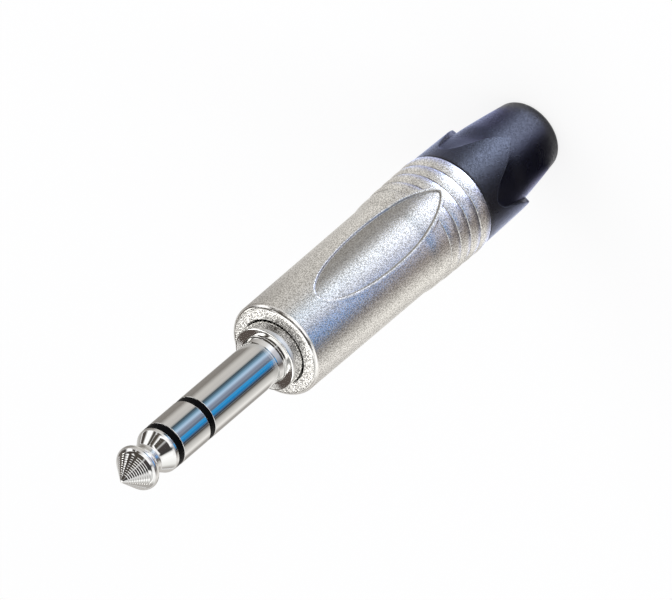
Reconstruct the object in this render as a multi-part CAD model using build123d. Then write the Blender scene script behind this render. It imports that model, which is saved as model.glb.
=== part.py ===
from build123d import *
import math
import os

# A 6.35 mm jack plug with three poles, standing on the rim of its boot.
# Z runs along the plug, from the boot's rim at 0 up to the apex of the tip.
# All values are in millimetres or degrees. A name that ends in _R is a radius.

# Lengths along the axis, from the boot's rim to the apex
BOOT_LENGTH = 18.65  # rim to the rear edge of the shell
SHELL_LENGTH = 37.95
FLANGE_PROUD = 1.9  # flange of the sleeve contact, in front of the shell
FINGER_LENGTH = 30.5  # flange to apex, the standard length of such a plug

# Clearances
RUNNING_GAP = 0.08  # radial, where the chuck slides and turns
SCREW_GAP = 0.05  # radial, spigot in the shell
NEST_GAP = 0.02  # radial, between the nested contacts
KEY_GAP = 0.1  # each side of a key in its groove
END_GAP = 0.05  # axial, between faces that the boot clamps together

OVERRUN = 1.0  # how far a cut or a joined block runs past the face that it meets

# Finger
FINGER_R = 3.175
TIP_LENGTH = 8.1  # apex to the first insulator
INSULATOR_WIDTH = 1.05
RING_WIDTH = 5.5
NOSE_R = 0.14  # flat left at the apex before it is rounded
NOSE_ROUNDING = 0.32
BULB_R = 3.41  # where the tip's two cones would meet
BULB_DEPTH = 3.38
BULB_ROUNDING = 1.0
NECK_R = 1.84  # where the cones on both sides of the neck would meet
NECK_DEPTH = 5.57
NECK_ROUNDING = 0.67
TIP_COLLAR_R = 3.13
TIP_COLLAR_LENGTH = 0.55
TIP_COLLAR_ROUNDING = 0.8
ROOT_R = 3.36  # collar where the finger meets the flange
ROOT_LENGTH = 0.3
ROOT_SLOPE = 0.8
FLANGE_R = 4.56
FLANGE_ROUNDING = 0.18

# Nested contacts
ROD_R = 0.8
TIP_TUBE_WALL = 0.33
RING_TUBE_WALL = 0.5
RING_INSULATOR_WALL = 0.5
DISC_THICKNESS = 1.6  # disc of the sleeve contact, behind the shell's front wall
SLEEVE_SPIGOT_R = 2.8
RIVET_LIP = 0.35  # how far a riveted end spreads over its lug
RIVET_HEIGHT = 0.4
RIVET_RELIEF = 0.1

# Solder lugs and their insulators
LUG_THICKNESS = 0.5
GROUND_LUG_R = 4.0
RING_LUG_R = 2.9
TIP_LUG_R = 2.1
CARRIER_LENGTH = 4.0
WASHER_LENGTH = 2.0
WASHER_R = 3.1
TAIL_R = 3.95  # outer face of the lugs' tails
TAIL_WIDTH = 2.2
TAIL_REACH = 11.5  # rear face of the carrier to the ends of the tails
TAIL_HOLE_R = 0.55
TAIL_HOLE_INSET = 1.5
GROUND_ANGLE = 90.0
RING_ANGLE = 210.0
TIP_ANGLE = 330.0

# Shell
FRONT_WALL = 2.0
FRONT_OPENING_R = 4.7
SHELL_BORE_R = 5.45
THREAD_ROOT_R = 6.0
THREAD_LENGTH = 8.5
SHELL_FRONT_R = 6.65
SHELL_WAIST_R = 6.8
SHELL_FRONT_ROUNDING = 0.8
FLARE_LENGTH = 3.8  # foremost grip band to the straight front part
FLARE_SHIFT = 0.7  # how far the middle of the flare lies in front of halfway
FLARE_R = 7.1
REAR_BAND_LENGTH = 2.3
BAND_PITCH = 2.15
BAND_COUNT = 3  # grip bands in front of the rear one
BAND_FRONT_R = 7.02
BAND_REAR_R = 7.15
BAND_RISE = 0.12
REAR_ROUNDING = 0.3
OVAL_DEPTH = 0.3
OVAL_LIP = 0.55
OVAL_LIP_RISE = 0.05
OVAL_HALF_WIDTH = 3.42
OVAL_FRONT_REACH = 13.25
OVAL_REAR_MARGIN = 5.25  # rear edge of the shell to the rear end of the oval
OVAL_REAR_POWER = 2.4  # a higher power keeps the oval's rear half wide for longer
OVAL_REAR_BLUNTNESS = 0.75
OVAL_REAR_STEPS = 5
OVAL_MID = 19.6  # front face of the shell to the widest place of the oval
KEY_WIDTH = 1.2
KEY_R = 5.75

# Bushing
BOOT_TOP_R = 7.08
BOOT_EDGE_ROUNDING = 0.2
PETAL_R = 6.87  # at the tips of the petals
PETAL_LENGTH = 10.15
PETAL_COUNT = 4
PETAL_PHASE = -95.0  # direction of the first petal
SCOOP_TOP = 2.1  # shell edge to the round end of a scoop
SCOOP_CURVE = [(0.31, 0.11), (0.52, 0.4), (0.69, 0.72)]  # shares of its half width and its fall
CORE_TOP_R = 6.6
CORE_MID_R = 6.05
CORE_END_R = 5.05
CORE_MID_HEIGHT = 8.5
RIM_ROUNDING = 1.0
OUTLET_R = 3.6
OUTLET_LENGTH = 3.5
GRIP_CONE_LENGTH = 10.5
SPIGOT_BORE_R = 4.6
PILOT_LENGTH = 1.5
REGISTER_LENGTH = 1.0

# Chuck
CHUCK_TUBE_WALL = 0.77
CHUCK_FLOOR = 1.2
CHUCK_GAP = 0.35  # spigot to the chuck's step
CHUCK_KEY_LENGTH = 10.0
CHUCK_KEY_INSET = 0.5
JAW_END = 6.5  # boot rim to the ends of the jaws
JAW_COUNT = 4
JAW_SLOT = 1.0
JAW_SLOT_TOP = 2.5  # below the chuck's step
JAW_BORE_R = 3.6
JAW_THROAT_R = 3.3
TOOTH_R = 3.1
TOOTH_COUNT = 5
TOOTH_PITCH = 1.3

# Heights that follow from the lengths above
SHELL_REAR = BOOT_LENGTH
SHELL_FRONT = SHELL_REAR + SHELL_LENGTH
SHOULDER = SHELL_FRONT + FLANGE_PROUD
APEX = SHOULDER + FINGER_LENGTH
FINGER_STEPS = [APEX - TIP_LENGTH]
FINGER_STEPS.append(FINGER_STEPS[0] - INSULATOR_WIDTH)
FINGER_STEPS.append(FINGER_STEPS[1] - RING_WIDTH)
FINGER_STEPS.append(FINGER_STEPS[2] - INSULATOR_WIDTH)
DISC_FRONT = SHELL_FRONT - FRONT_WALL
DISC_REAR = DISC_FRONT - DISC_THICKNESS
CARRIER_FRONT = DISC_REAR - LUG_THICKNESS
CARRIER_REAR = CARRIER_FRONT - CARRIER_LENGTH
WASHER_FRONT = CARRIER_REAR - LUG_THICKNESS
WASHER_REAR = WASHER_FRONT - WASHER_LENGTH
ROD_SEAT = WASHER_REAR - LUG_THICKNESS
TAIL_END = CARRIER_REAR - TAIL_REACH
THREAD_TOP = SHELL_REAR + THREAD_LENGTH
SPIGOT_TOP = THREAD_TOP + PILOT_LENGTH
BOOT_TOP = SHELL_REAR - END_GAP
CHUCK_STEP = SPIGOT_TOP + CHUCK_GAP
CHUCK_TOP = CARRIER_REAR - END_GAP
BANDS_TOP = SHELL_REAR + REAR_BAND_LENGTH + BAND_COUNT * BAND_PITCH
WAIST = BANDS_TOP + FLARE_LENGTH
OVAL_CENTRE = SHELL_FRONT - OVAL_MID
OVAL_REAR_REACH = OVAL_CENTRE - OVAL_REAR_MARGIN - SHELL_REAR

# Radii that follow from the radii above
TIP_TUBE_BORE_R = ROD_R + NEST_GAP
TIP_TUBE_R = TIP_TUBE_BORE_R + TIP_TUBE_WALL
RING_BORE_R = TIP_TUBE_R + NEST_GAP
RING_TUBE_R = RING_BORE_R + RING_TUBE_WALL
RING_SLEEVE_BORE_R = RING_TUBE_R + NEST_GAP
RING_SLEEVE_R = RING_SLEEVE_BORE_R + RING_INSULATOR_WALL
SLEEVE_BORE_R = RING_SLEEVE_R + NEST_GAP
INSERT_R = SHELL_BORE_R - RUNNING_GAP
KEY_GROOVE_R = KEY_R + KEY_GAP


def turned(*corners):
    """Solid of revolution. A corner is (radius, height) or (radius, height, rounding)."""
    points = [(corner[0], corner[1]) for corner in corners]
    roundings = [corner[2] if len(corner) == 3 else 0.0 for corner in corners]
    outline = FilletPolyline(*points, radius=roundings, close=True)
    return revolve(make_face(Plane.XZ * outline), Axis.Z)


def spun(edges):
    """Solid of revolution from edges drawn with radius across and height up."""
    return revolve(make_face(Plane.XZ * (Curve() + edges)), Axis.Z)


def slab(radius_from, radius_to, width, bottom, top):
    """Block along +X between two distances from the axis and two heights."""
    block = Box(radius_to - radius_from, width, top - bottom, align=(Align.MIN, Align.CENTER, Align.MIN))
    return Pos(radius_from, 0, bottom) * block


def around(shape, angle):
    """The shape turned about the plug's axis."""
    return Rot(0, 0, angle) * shape


def make_tip_contact():
    """Tip, its collar and the rod, turned in one piece and riveted at the far end."""
    lip_r = ROD_R + RIVET_LIP
    return turned(
        (0, APEX),
        (NOSE_R, APEX, NOSE_ROUNDING),
        (BULB_R, APEX - BULB_DEPTH, BULB_ROUNDING),
        (NECK_R, APEX - NECK_DEPTH, NECK_ROUNDING),
        (TIP_COLLAR_R, APEX - TIP_LENGTH + TIP_COLLAR_LENGTH, TIP_COLLAR_ROUNDING),
        (TIP_COLLAR_R, APEX - TIP_LENGTH),
        (ROD_R, APEX - TIP_LENGTH),
        (ROD_R, ROD_SEAT),
        (lip_r, ROD_SEAT),
        (lip_r, ROD_SEAT - RIVET_HEIGHT),
        (0, ROD_SEAT - RIVET_HEIGHT),
    )


def flanged_tube(flange_top, flange_bottom, flange_r, tube_r, bore_r, bottom):
    """A ring at the front with a thinner tube behind it."""
    return turned(
        (bore_r, bottom),
        (tube_r, bottom),
        (tube_r, flange_bottom),
        (flange_r, flange_bottom),
        (flange_r, flange_top),
        (bore_r, flange_top),
    )


def make_tip_insulator():
    """Ring between the tip and the ring contact, with the tube over the rod."""
    bottom = WASHER_FRONT - RIVET_HEIGHT
    return flanged_tube(FINGER_STEPS[0], FINGER_STEPS[1], FINGER_R, TIP_TUBE_R, TIP_TUBE_BORE_R, bottom)


def make_ring_contact():
    """Middle pole, with its tube riveted over the ring's lug."""
    tube = flanged_tube(FINGER_STEPS[1], FINGER_STEPS[2], FINGER_R, RING_TUBE_R, RING_BORE_R, WASHER_FRONT)
    lip_r = RING_TUBE_R + RIVET_LIP
    lip = turned(
        (RING_BORE_R, WASHER_FRONT - RIVET_HEIGHT),
        (lip_r, WASHER_FRONT - RIVET_HEIGHT),
        (lip_r, WASHER_FRONT),
        (RING_BORE_R, WASHER_FRONT),
    )
    return tube + lip


def make_ring_insulator():
    """Ring between the ring and the sleeve contacts, with its tube."""
    bottom = CARRIER_FRONT - RIVET_HEIGHT
    front, rear = FINGER_STEPS[2:]
    return flanged_tube(front, rear, FINGER_R, RING_SLEEVE_R, RING_SLEEVE_BORE_R, bottom)


def make_sleeve_contact():
    """Long pole with its root collar, flange, seating disc and riveted spigot."""
    root_start = SHOULDER + ROOT_LENGTH + ROOT_SLOPE
    lip_r = SLEEVE_SPIGOT_R + RIVET_LIP
    return turned(
        (SLEEVE_BORE_R, FINGER_STEPS[3]),
        (FINGER_R, FINGER_STEPS[3]),
        (FINGER_R, root_start),
        (ROOT_R, SHOULDER + ROOT_LENGTH),
        (ROOT_R, SHOULDER),
        (FLANGE_R, SHOULDER, FLANGE_ROUNDING),
        (FLANGE_R, DISC_FRONT),
        (INSERT_R, DISC_FRONT),
        (INSERT_R, DISC_REAR),
        (SLEEVE_SPIGOT_R, DISC_REAR),
        (SLEEVE_SPIGOT_R, CARRIER_FRONT),
        (lip_r, CARRIER_FRONT),
        (lip_r, CARRIER_FRONT - RIVET_HEIGHT),
        (SLEEVE_BORE_R, CARRIER_FRONT - RIVET_HEIGHT),
    )


def make_lug(hole_r, plate_r, top, angle):
    """Flat lug round a riveted neck, with a bent tail that ends in a solder eye."""
    bottom = top - LUG_THICKNESS
    tail_inner = TAIL_R - LUG_THICKNESS
    plate = turned((0, bottom), (plate_r, bottom), (plate_r, top), (0, top))
    arm = slab(0, TAIL_R, TAIL_WIDTH, bottom, top)
    tail = slab(tail_inner, TAIL_R, TAIL_WIDTH, TAIL_END, top)
    tail = fillet(tail.edges().filter_by(Axis.X).group_by(Axis.Z)[0], TAIL_WIDTH / 2 - RIVET_RELIEF)
    eye = Pos(TAIL_R, 0, TAIL_END + TAIL_HOLE_INSET) * Rot(0, 90, 0) * Cylinder(TAIL_HOLE_R, 4 * LUG_THICKNESS)
    hole = turned(
        (0, bottom - OVERRUN),
        (hole_r, bottom - OVERRUN),
        (hole_r, top + OVERRUN),
        (0, top + OVERRUN),
    )
    return around(plate + arm + tail - eye - hole, angle)


def make_terminal_carrier():
    """Moulded disc between the lugs, keyed to the shell, slotted for the ground tail."""
    relief_r = SLEEVE_SPIGOT_R + RIVET_LIP + RIVET_RELIEF
    relief_floor = CARRIER_FRONT - RIVET_HEIGHT - RIVET_RELIEF
    carrier = turned(
        (RING_TUBE_R + NEST_GAP, CARRIER_REAR),
        (INSERT_R, CARRIER_REAR),
        (INSERT_R, CARRIER_FRONT),
        (relief_r, CARRIER_FRONT),
        (relief_r, relief_floor),
        (RING_TUBE_R + NEST_GAP, relief_floor),
    )
    key = slab(INSERT_R - OVERRUN, KEY_R, KEY_WIDTH, CARRIER_REAR, CARRIER_FRONT)
    tail_inner = TAIL_R - LUG_THICKNESS
    slot = slab(
        tail_inner - KEY_GAP,
        TAIL_R + KEY_GAP,
        TAIL_WIDTH + 2 * KEY_GAP,
        CARRIER_REAR,
        CARRIER_FRONT,
    )
    return carrier + key + around(key, 180) - around(slot, GROUND_ANGLE)


def make_rear_washer():
    """Insulating washer with a relief for the riveted end of the ring's tube."""
    relief_r = RING_TUBE_R + RIVET_LIP + RIVET_RELIEF
    relief_floor = WASHER_FRONT - RIVET_HEIGHT - RIVET_RELIEF
    return turned(
        (ROD_R + NEST_GAP, WASHER_REAR),
        (WASHER_R, WASHER_REAR),
        (WASHER_R, WASHER_FRONT),
        (relief_r, WASHER_FRONT),
        (relief_r, relief_floor),
        (ROD_R + NEST_GAP, relief_floor),
    )


def band_height(index):
    """Height of the line in front of the grip band with this index, counted from the rear."""
    return SHELL_REAR + REAR_BAND_LENGTH + index * BAND_PITCH


def band_r(height):
    """Radius at the lines between the grip bands."""
    share = (height - SHELL_REAR) / (BANDS_TOP - SHELL_REAR)
    return BAND_REAR_R + share * (BAND_FRONT_R - BAND_REAR_R)


def shell_outside(extra, banded):
    """Outside of the shell as a full solid, grown by extra, with or without its grip bands."""
    heights = [SHELL_REAR + REAR_ROUNDING] + [band_height(index) for index in range(BAND_COUNT + 1)]
    if banded:
        rear_foot = (BAND_REAR_R - REAR_ROUNDING, SHELL_REAR)
        flare_foot = (BAND_FRONT_R, BANDS_TOP)
        skirt = [RadiusArc(rear_foot, (band_r(heights[0]), heights[0]), -REAR_ROUNDING)]
        skirt += [
            SagittaArc((band_r(low), low), (band_r(high), high), BAND_RISE)
            for low, high in zip(heights, heights[1:])
        ]
    else:
        rear_foot = (BAND_REAR_R + BAND_RISE + extra, SHELL_REAR)
        flare_foot = (FLARE_R + extra, BANDS_TOP)
        skirt = [Line(rear_foot, flare_foot)]
    flare_mid = ((FLARE_R + SHELL_WAIST_R) / 2 + extra, (BANDS_TOP + WAIST) / 2 + FLARE_SHIFT)
    waist = (SHELL_WAIST_R + extra, WAIST)
    front_r = SHELL_FRONT_R + extra
    round_foot = (front_r, SHELL_FRONT - SHELL_FRONT_ROUNDING)
    round_top = (front_r - SHELL_FRONT_ROUNDING, SHELL_FRONT)
    return spun(
        skirt
        + [
            Spline(flare_foot, flare_mid, waist, tangents=[(0, 1), (0, 1)]),
            Line(waist, round_foot),
            RadiusArc(round_foot, round_top, -SHELL_FRONT_ROUNDING),
            Polyline(round_top, (0, SHELL_FRONT), (0, SHELL_REAR), rear_foot),
        ]
    )


def oval_prism(grow):
    """Oval column along -Y, wider all round by grow, from inside the wall outwards."""
    half = OVAL_HALF_WIDTH + grow
    front = OVAL_FRONT_REACH + grow
    rear = OVAL_REAR_REACH + 2 * grow
    right = []
    for step in range(OVAL_REAR_STEPS + 1):
        share = math.sin(math.pi / 2 * step / OVAL_REAR_STEPS)
        across = half * (1 - share**OVAL_REAR_POWER) ** OVAL_REAR_BLUNTNESS
        right.append((across, OVAL_CENTRE - rear * share))
    left = [(-across, height) for across, height in right]
    outline = [
        EllipticalCenterArc((0, OVAL_CENTRE), half, front, start_angle=0, arc_size=180),
        Spline(*right, tangents=[(0, -1), (-half, -half)]),
        Spline(*left, tangents=[(0, -1), (half, -half)]),
    ]
    face = make_face(Plane.XZ * (Curve() + outline))
    return Pos(0, -SHELL_BORE_R, 0) * extrude(face, 2 * SHELL_BORE_R, dir=(0, -1, 0))


def make_shell():
    """Die-cast shell with grip bands, two sunk ovals, its bore, thread space and key grooves."""
    body = shell_outside(0, True)
    lip = oval_prism(OVAL_LIP) & shell_outside(OVAL_LIP_RISE, False)
    sink = oval_prism(0) - shell_outside(-OVAL_DEPTH, False)
    for angle in (0, 180):
        body += around(lip, angle)
    for angle in (0, 180):
        body -= around(sink, angle)
    bore = turned(
        (0, SHELL_REAR - OVERRUN),
        (THREAD_ROOT_R, SHELL_REAR - OVERRUN),
        (THREAD_ROOT_R, THREAD_TOP),
        (SHELL_BORE_R, THREAD_TOP),
        (SHELL_BORE_R, DISC_FRONT),
        (FRONT_OPENING_R, DISC_FRONT),
        (FRONT_OPENING_R, SHELL_FRONT + OVERRUN),
        (0, SHELL_FRONT + OVERRUN),
    )
    groove_rear = THREAD_TOP - OVERRUN
    groove_width = KEY_WIDTH + 2 * KEY_GAP
    groove = slab(SHELL_BORE_R - OVERRUN, KEY_GROOVE_R, groove_width, groove_rear, DISC_FRONT)
    return body - bore - groove - around(groove, 180)


def scoop_prism():
    """Column along +X with the rounded outline of the hollow between two petals."""
    top = SHELL_REAR - SCOOP_TOP
    foot = SHELL_REAR - PETAL_LENGTH
    reach = PETAL_R * math.sin(math.pi / PETAL_COUNT)
    fall = top - foot
    right = [(0, top)]
    right += [(reach * across, top - fall * down) for across, down in SCOOP_CURVE]
    right += [(reach, foot)]
    left = [(-across, height) for across, height in right[::-1]]
    wide = 2 * BOOT_TOP_R
    outline = [
        Spline(*right, tangents=[(1, 0), (1, -1)]),
        Polyline((reach, foot), (wide, foot - wide), (-wide, foot - wide), (-reach, foot)),
        Spline(*left, tangents=[(1, 1), (1, 0)]),
    ]
    face = make_face(Plane.YZ * (Curve() + outline))
    return extrude(face, 2 * BOOT_TOP_R, dir=(1, 0, 0))


def make_bushing():
    """Boot with four petals round its core, cable outlet, grip cone and threaded spigot's core."""
    petals = turned(
        (0, SHELL_REAR - PETAL_LENGTH - OVERRUN),
        (PETAL_R, SHELL_REAR - PETAL_LENGTH - OVERRUN),
        (BOOT_TOP_R, BOOT_TOP, BOOT_EDGE_ROUNDING),
        (0, BOOT_TOP),
    )
    for index in range(PETAL_COUNT):
        scoop_angle = PETAL_PHASE + (index + 0.5) * 360 / PETAL_COUNT
        petals -= around(scoop_prism(), scoop_angle)
    core_top = (CORE_TOP_R, SHELL_REAR - SCOOP_TOP)
    core_end = (CORE_END_R, RIM_ROUNDING)
    rim = (CORE_END_R - RIM_ROUNDING, 0)
    core = spun(
        [
            ThreePointArc(core_top, (CORE_MID_R, CORE_MID_HEIGHT), core_end),
            RadiusArc(core_end, rim, RIM_ROUNDING),
            Polyline(rim, (0, 0), (0, BOOT_TOP), (CORE_TOP_R, BOOT_TOP), core_top),
        ]
    )
    spigot = turned(
        (0, BOOT_TOP),
        (THREAD_ROOT_R - SCREW_GAP, BOOT_TOP),
        (THREAD_ROOT_R - SCREW_GAP, SHELL_REAR + REGISTER_LENGTH),
        (SHELL_BORE_R - SCREW_GAP, SHELL_REAR + REGISTER_LENGTH),
        (SHELL_BORE_R - SCREW_GAP, SPIGOT_TOP),
        (0, SPIGOT_TOP),
    )
    bore = turned(
        (0, -OVERRUN),
        (OUTLET_R, -OVERRUN),
        (OUTLET_R, OUTLET_LENGTH),
        (SPIGOT_BORE_R, OUTLET_LENGTH + GRIP_CONE_LENGTH),
        (SPIGOT_BORE_R, SPIGOT_TOP + OVERRUN),
        (0, SPIGOT_TOP + OVERRUN),
    )
    return petals + core + spigot - bore


def make_chuck():
    """Keyed tube over the lugs, with four slotted jaws that reach down the boot's cone."""
    jaw_r = SPIGOT_BORE_R - RUNNING_GAP
    cone_top = OUTLET_LENGTH + GRIP_CONE_LENGTH
    cone_slope = (SPIGOT_BORE_R - OUTLET_R) / GRIP_CONE_LENGTH
    jaw_end_r = jaw_r - (cone_top - JAW_END) * cone_slope
    tooth_top = JAW_END + TOOTH_COUNT * TOOTH_PITCH
    teeth = []
    for index in range(TOOTH_COUNT):
        crest = tooth_top - index * TOOTH_PITCH
        teeth += [(JAW_THROAT_R, crest), (TOOTH_R, crest - TOOTH_PITCH)]
    body = turned(
        (jaw_end_r, JAW_END),
        (jaw_r, cone_top),
        (jaw_r, CHUCK_STEP),
        (INSERT_R, CHUCK_STEP),
        (INSERT_R, CHUCK_TOP),
        (INSERT_R - CHUCK_TUBE_WALL, CHUCK_TOP),
        (INSERT_R - CHUCK_TUBE_WALL, CHUCK_STEP + CHUCK_FLOOR),
        (JAW_BORE_R, CHUCK_STEP + CHUCK_FLOOR),
        (JAW_BORE_R, tooth_top + TOOTH_PITCH),
        *teeth,
    )
    slot = slab(0, INSERT_R, JAW_SLOT, JAW_END - OVERRUN, CHUCK_STEP - JAW_SLOT_TOP)
    for index in range(JAW_COUNT):
        body -= around(slot, (index + 0.5) * 360 / JAW_COUNT)
    key_foot = CHUCK_STEP + CHUCK_KEY_INSET
    key = slab(INSERT_R - CHUCK_TUBE_WALL / 2, KEY_R, KEY_WIDTH, key_foot, key_foot + CHUCK_KEY_LENGTH)
    return body + key + around(key, 180)


PIECES = {
    "tip_contact": make_tip_contact(),
    "tip_insulator": make_tip_insulator(),
    "ring_contact": make_ring_contact(),
    "ring_insulator": make_ring_insulator(),
    "sleeve_contact": make_sleeve_contact(),
    "ground_terminal": make_lug(SLEEVE_SPIGOT_R + NEST_GAP, GROUND_LUG_R, DISC_REAR, GROUND_ANGLE),
    "terminal_carrier": make_terminal_carrier(),
    "ring_terminal": make_lug(RING_TUBE_R + NEST_GAP, RING_LUG_R, CARRIER_REAR, RING_ANGLE),
    "rear_washer": make_rear_washer(),
    "tip_terminal": make_lug(ROD_R + NEST_GAP, TIP_LUG_R, WASHER_REAR, TIP_ANGLE),
    "shell": make_shell(),
    "bushing": make_bushing(),
    "chuck": make_chuck(),
}

os.makedirs("parts", exist_ok=True)
for name, piece in PIECES.items():
    export_step(piece, f"parts/{name}.step")
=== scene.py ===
"""A 6.35 mm jack plug with three poles: its dressed pieces, its finishes and its studio.

Outlines are written in millimetres, as a turner would dimension them, and become metres when a
mesh is made. Z runs along the plug, from the boot's rim at 0 up to the tip.
"""

import logging
import math
from dataclasses import dataclass
from enum import Enum
from typing import Iterable, Sequence

import bpy
from mathutils import Matrix, Vector


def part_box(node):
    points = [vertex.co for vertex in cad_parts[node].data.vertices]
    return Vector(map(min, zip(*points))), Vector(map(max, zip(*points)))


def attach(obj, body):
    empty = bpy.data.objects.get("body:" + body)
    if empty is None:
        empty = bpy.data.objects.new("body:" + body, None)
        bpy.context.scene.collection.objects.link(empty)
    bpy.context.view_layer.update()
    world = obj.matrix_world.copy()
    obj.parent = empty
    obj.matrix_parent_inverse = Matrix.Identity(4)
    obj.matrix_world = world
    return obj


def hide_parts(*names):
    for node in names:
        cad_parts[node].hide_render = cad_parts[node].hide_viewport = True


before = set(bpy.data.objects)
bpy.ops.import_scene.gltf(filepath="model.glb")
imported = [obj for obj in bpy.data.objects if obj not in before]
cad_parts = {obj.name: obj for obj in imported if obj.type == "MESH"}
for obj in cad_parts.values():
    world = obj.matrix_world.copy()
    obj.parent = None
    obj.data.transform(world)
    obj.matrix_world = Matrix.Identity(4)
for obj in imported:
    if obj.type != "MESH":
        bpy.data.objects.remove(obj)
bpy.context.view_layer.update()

LOG = logging.getLogger("jack_plug")
MM = 0.001
SEAM = 1e-6
SPIN_STEPS = 192
FULL_TURN = 2 * math.pi
FINE_ARC_DEG = 6.0
PRESSED_SHARP_DEG = 50.0

Corner = tuple[float, float, float]
Point = tuple[float, float]
Colour = tuple[float, float, float]
Marked = tuple[Vector, float]
Stops = tuple[tuple[float, ...], ...]


class Body(Enum):
    """The bodies that a new piece can ride on."""

    BUSHING = "bushing"
    SHELL = "shell"


class Slot(Enum):
    """The material slots that a piece can take its finish from."""

    POLISHED = "nickel_polished"
    SATIN = "nickel_satin"
    TINNED = "tinned_brass"
    INSULATOR = "black_insulator"
    BOOT = "boot_plastic"
    CHUCK = "chuck_plastic"


def top_of(node: str) -> float:
    """Height of a node's highest corner, in millimetres."""
    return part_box(node)[1][2] / MM


def foot_of(node: str) -> float:
    """Height of a node's lowest corner, in millimetres."""
    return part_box(node)[0][2] / MM


@dataclass(frozen=True)
class Levels:
    """Heights along the plug, in millimetres, read from the frame."""

    apex: float
    tip_foot: float
    ring_top: float
    ring_foot: float
    sleeve_top: float
    shell_front: float
    shell_rear: float
    boot_top: float
    spigot_top: float
    shoulder: float
    disc_front: float
    disc_rear: float
    carrier_front: float

    @classmethod
    def from_frame(cls) -> "Levels":
        """Read every height from the boxes of the nodes.

        Returns:
            The heights at rest.
        """
        boot_gap, flange_height = 0.05, 1.9
        front_wall, disc_thickness, lug_thickness = 2.0, 1.6, 0.5
        shell_front, shell_rear = top_of("shell"), foot_of("shell")
        disc_front = shell_front - front_wall
        disc_rear = disc_front - disc_thickness
        return cls(
            apex=top_of("tip_contact"),
            tip_foot=top_of("tip_insulator"),
            ring_top=top_of("ring_contact"),
            ring_foot=top_of("ring_insulator"),
            sleeve_top=top_of("sleeve_contact"),
            shell_front=shell_front,
            shell_rear=shell_rear,
            boot_top=shell_rear - boot_gap,
            spigot_top=top_of("bushing"),
            shoulder=shell_front + flange_height,
            disc_front=disc_front,
            disc_rear=disc_rear,
            carrier_front=disc_rear - lug_thickness,
        )


# Mesh tools


def deselect_all() -> None:
    """Leave edit mode and deselect every object."""
    if bpy.context.object and bpy.context.object.mode != "OBJECT":
        bpy.ops.object.mode_set(mode="OBJECT")
    bpy.ops.object.select_all(action="DESELECT")


def pick(piece: bpy.types.Object) -> None:
    """Make one object the only selected and the active one.

    Args:
        piece: The object.
    """
    deselect_all()
    piece.select_set(True)
    bpy.context.view_layer.objects.active = piece


def smooth_step(share: float) -> float:
    """Share from 0 to 1 that starts and ends level."""
    share = min(1.0, max(0.0, share))
    return share * share * (3 - 2 * share)


def hermite(
    share: float, span: float, start: object, start_slope: object, end: object, end_slope: object
) -> object:
    """Cubic between two marks, on numbers or vectors.

    Args:
        share: Share of the way, from 0 to 1.
        span: Length of the way.
        start: Value at the first mark.
        start_slope: Slope there.
        end: Value at the second mark.
        end_slope: Slope there.

    Returns:
        The value on the way.
    """
    return (
        (1 + 2 * share) * (1 - share) ** 2 * start
        + share * (1 - share) ** 2 * span * start_slope
        + share**2 * (3 - 2 * share) * end
        + share**2 * (share - 1) * span * end_slope
    )


def rounded(corners: Iterable[Sequence[float]], arc_step_deg: float = 9.0) -> list[Point]:
    """Points along an outline whose corners are rounded.

    Args:
        corners: (radius, height) or (radius, height, rounding) of each corner.
        arc_step_deg: How far an arc turns from one point to the next.

    Returns:
        Points from the first corner to the last, with a point just outside each arc, which keeps
        the shading of the straight runs even.
    """
    straight, guard_share, fewest_steps = 1e-4, 0.25, 3
    marks = [(Vector(corner[:2]), corner[2] if len(corner) > 2 else 0.0) for corner in corners]
    points = [marks[0][0]]
    for (before, _), (corner, rounding), (after, _) in zip(marks, marks[1:], marks[2:]):
        inward = (corner - before).normalized()
        outward = (after - corner).normalized()
        turn = inward.angle_signed(outward, 0.0)
        if rounding == 0.0 or abs(turn) < straight:
            points.append(corner)
            continue
        setback = rounding * math.tan(abs(turn) / 2)
        start = corner - inward * setback
        side = math.copysign(1.0, turn)
        centre = start + Vector((inward.y, -inward.x)) * rounding * side
        steps = max(fewest_steps, round(math.degrees(abs(turn)) / arc_step_deg))
        guard = guard_share * rounding
        if (start - before).length > 3 * guard:
            points.append(start - inward * guard)
        for step in range(steps + 1):
            spoke = start - centre
            spoke.rotate(Matrix.Rotation(-turn * step / steps, 2))
            points.append(centre + spoke)
        end = corner + outward * setback
        if (after - end).length > 3 * guard:
            points.append(end + outward * guard)
    points.append(marks[-1][0])
    return [(point.x, point.y) for point in points]


def grooves(start: Point, end: Point, pitch: float, depth: float) -> list[Corner]:
    """Fine turning grooves between two corners of an outline.

    Args:
        start: (radius, height) where the grooves begin.
        end: (radius, height) where they end.
        pitch: Distance from one groove to the next.
        depth: How deep each groove is cut.

    Returns:
        The corners, from the first crest to the last.
    """
    profile = ((0.0, 0.0), (0.375, 0.5), (0.75, 1.0), (0.875, 0.5))
    run = Vector(end) - Vector(start)
    count = max(1, round(run.length / pitch))
    inward = Vector((run.y, -run.x)).normalized() * depth
    corners = []
    for index in range(count):
        for share, sink in profile:
            corner = Vector(start) + run * (index + share) / count + inward * sink
            corners.append((corner.x, corner.y, 0.0))
    return corners + [(end[0], end[1], 0.0)]


def close_up(merge: float = SEAM, sliver: float = 0.0) -> None:
    """Merge the points that meet, point the faces outwards and leave edit mode.

    Args:
        merge: Points that are nearer than this become one.
        sliver: Faces that are thinner than this are dissolved.
    """
    bpy.ops.mesh.select_all(action="SELECT")
    bpy.ops.mesh.remove_doubles(threshold=merge)
    if sliver:
        bpy.ops.mesh.dissolve_degenerate(threshold=sliver)
    bpy.ops.mesh.select_all(action="SELECT")
    bpy.ops.mesh.normals_make_consistent(inside=False)
    bpy.ops.object.mode_set(mode="OBJECT")


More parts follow.
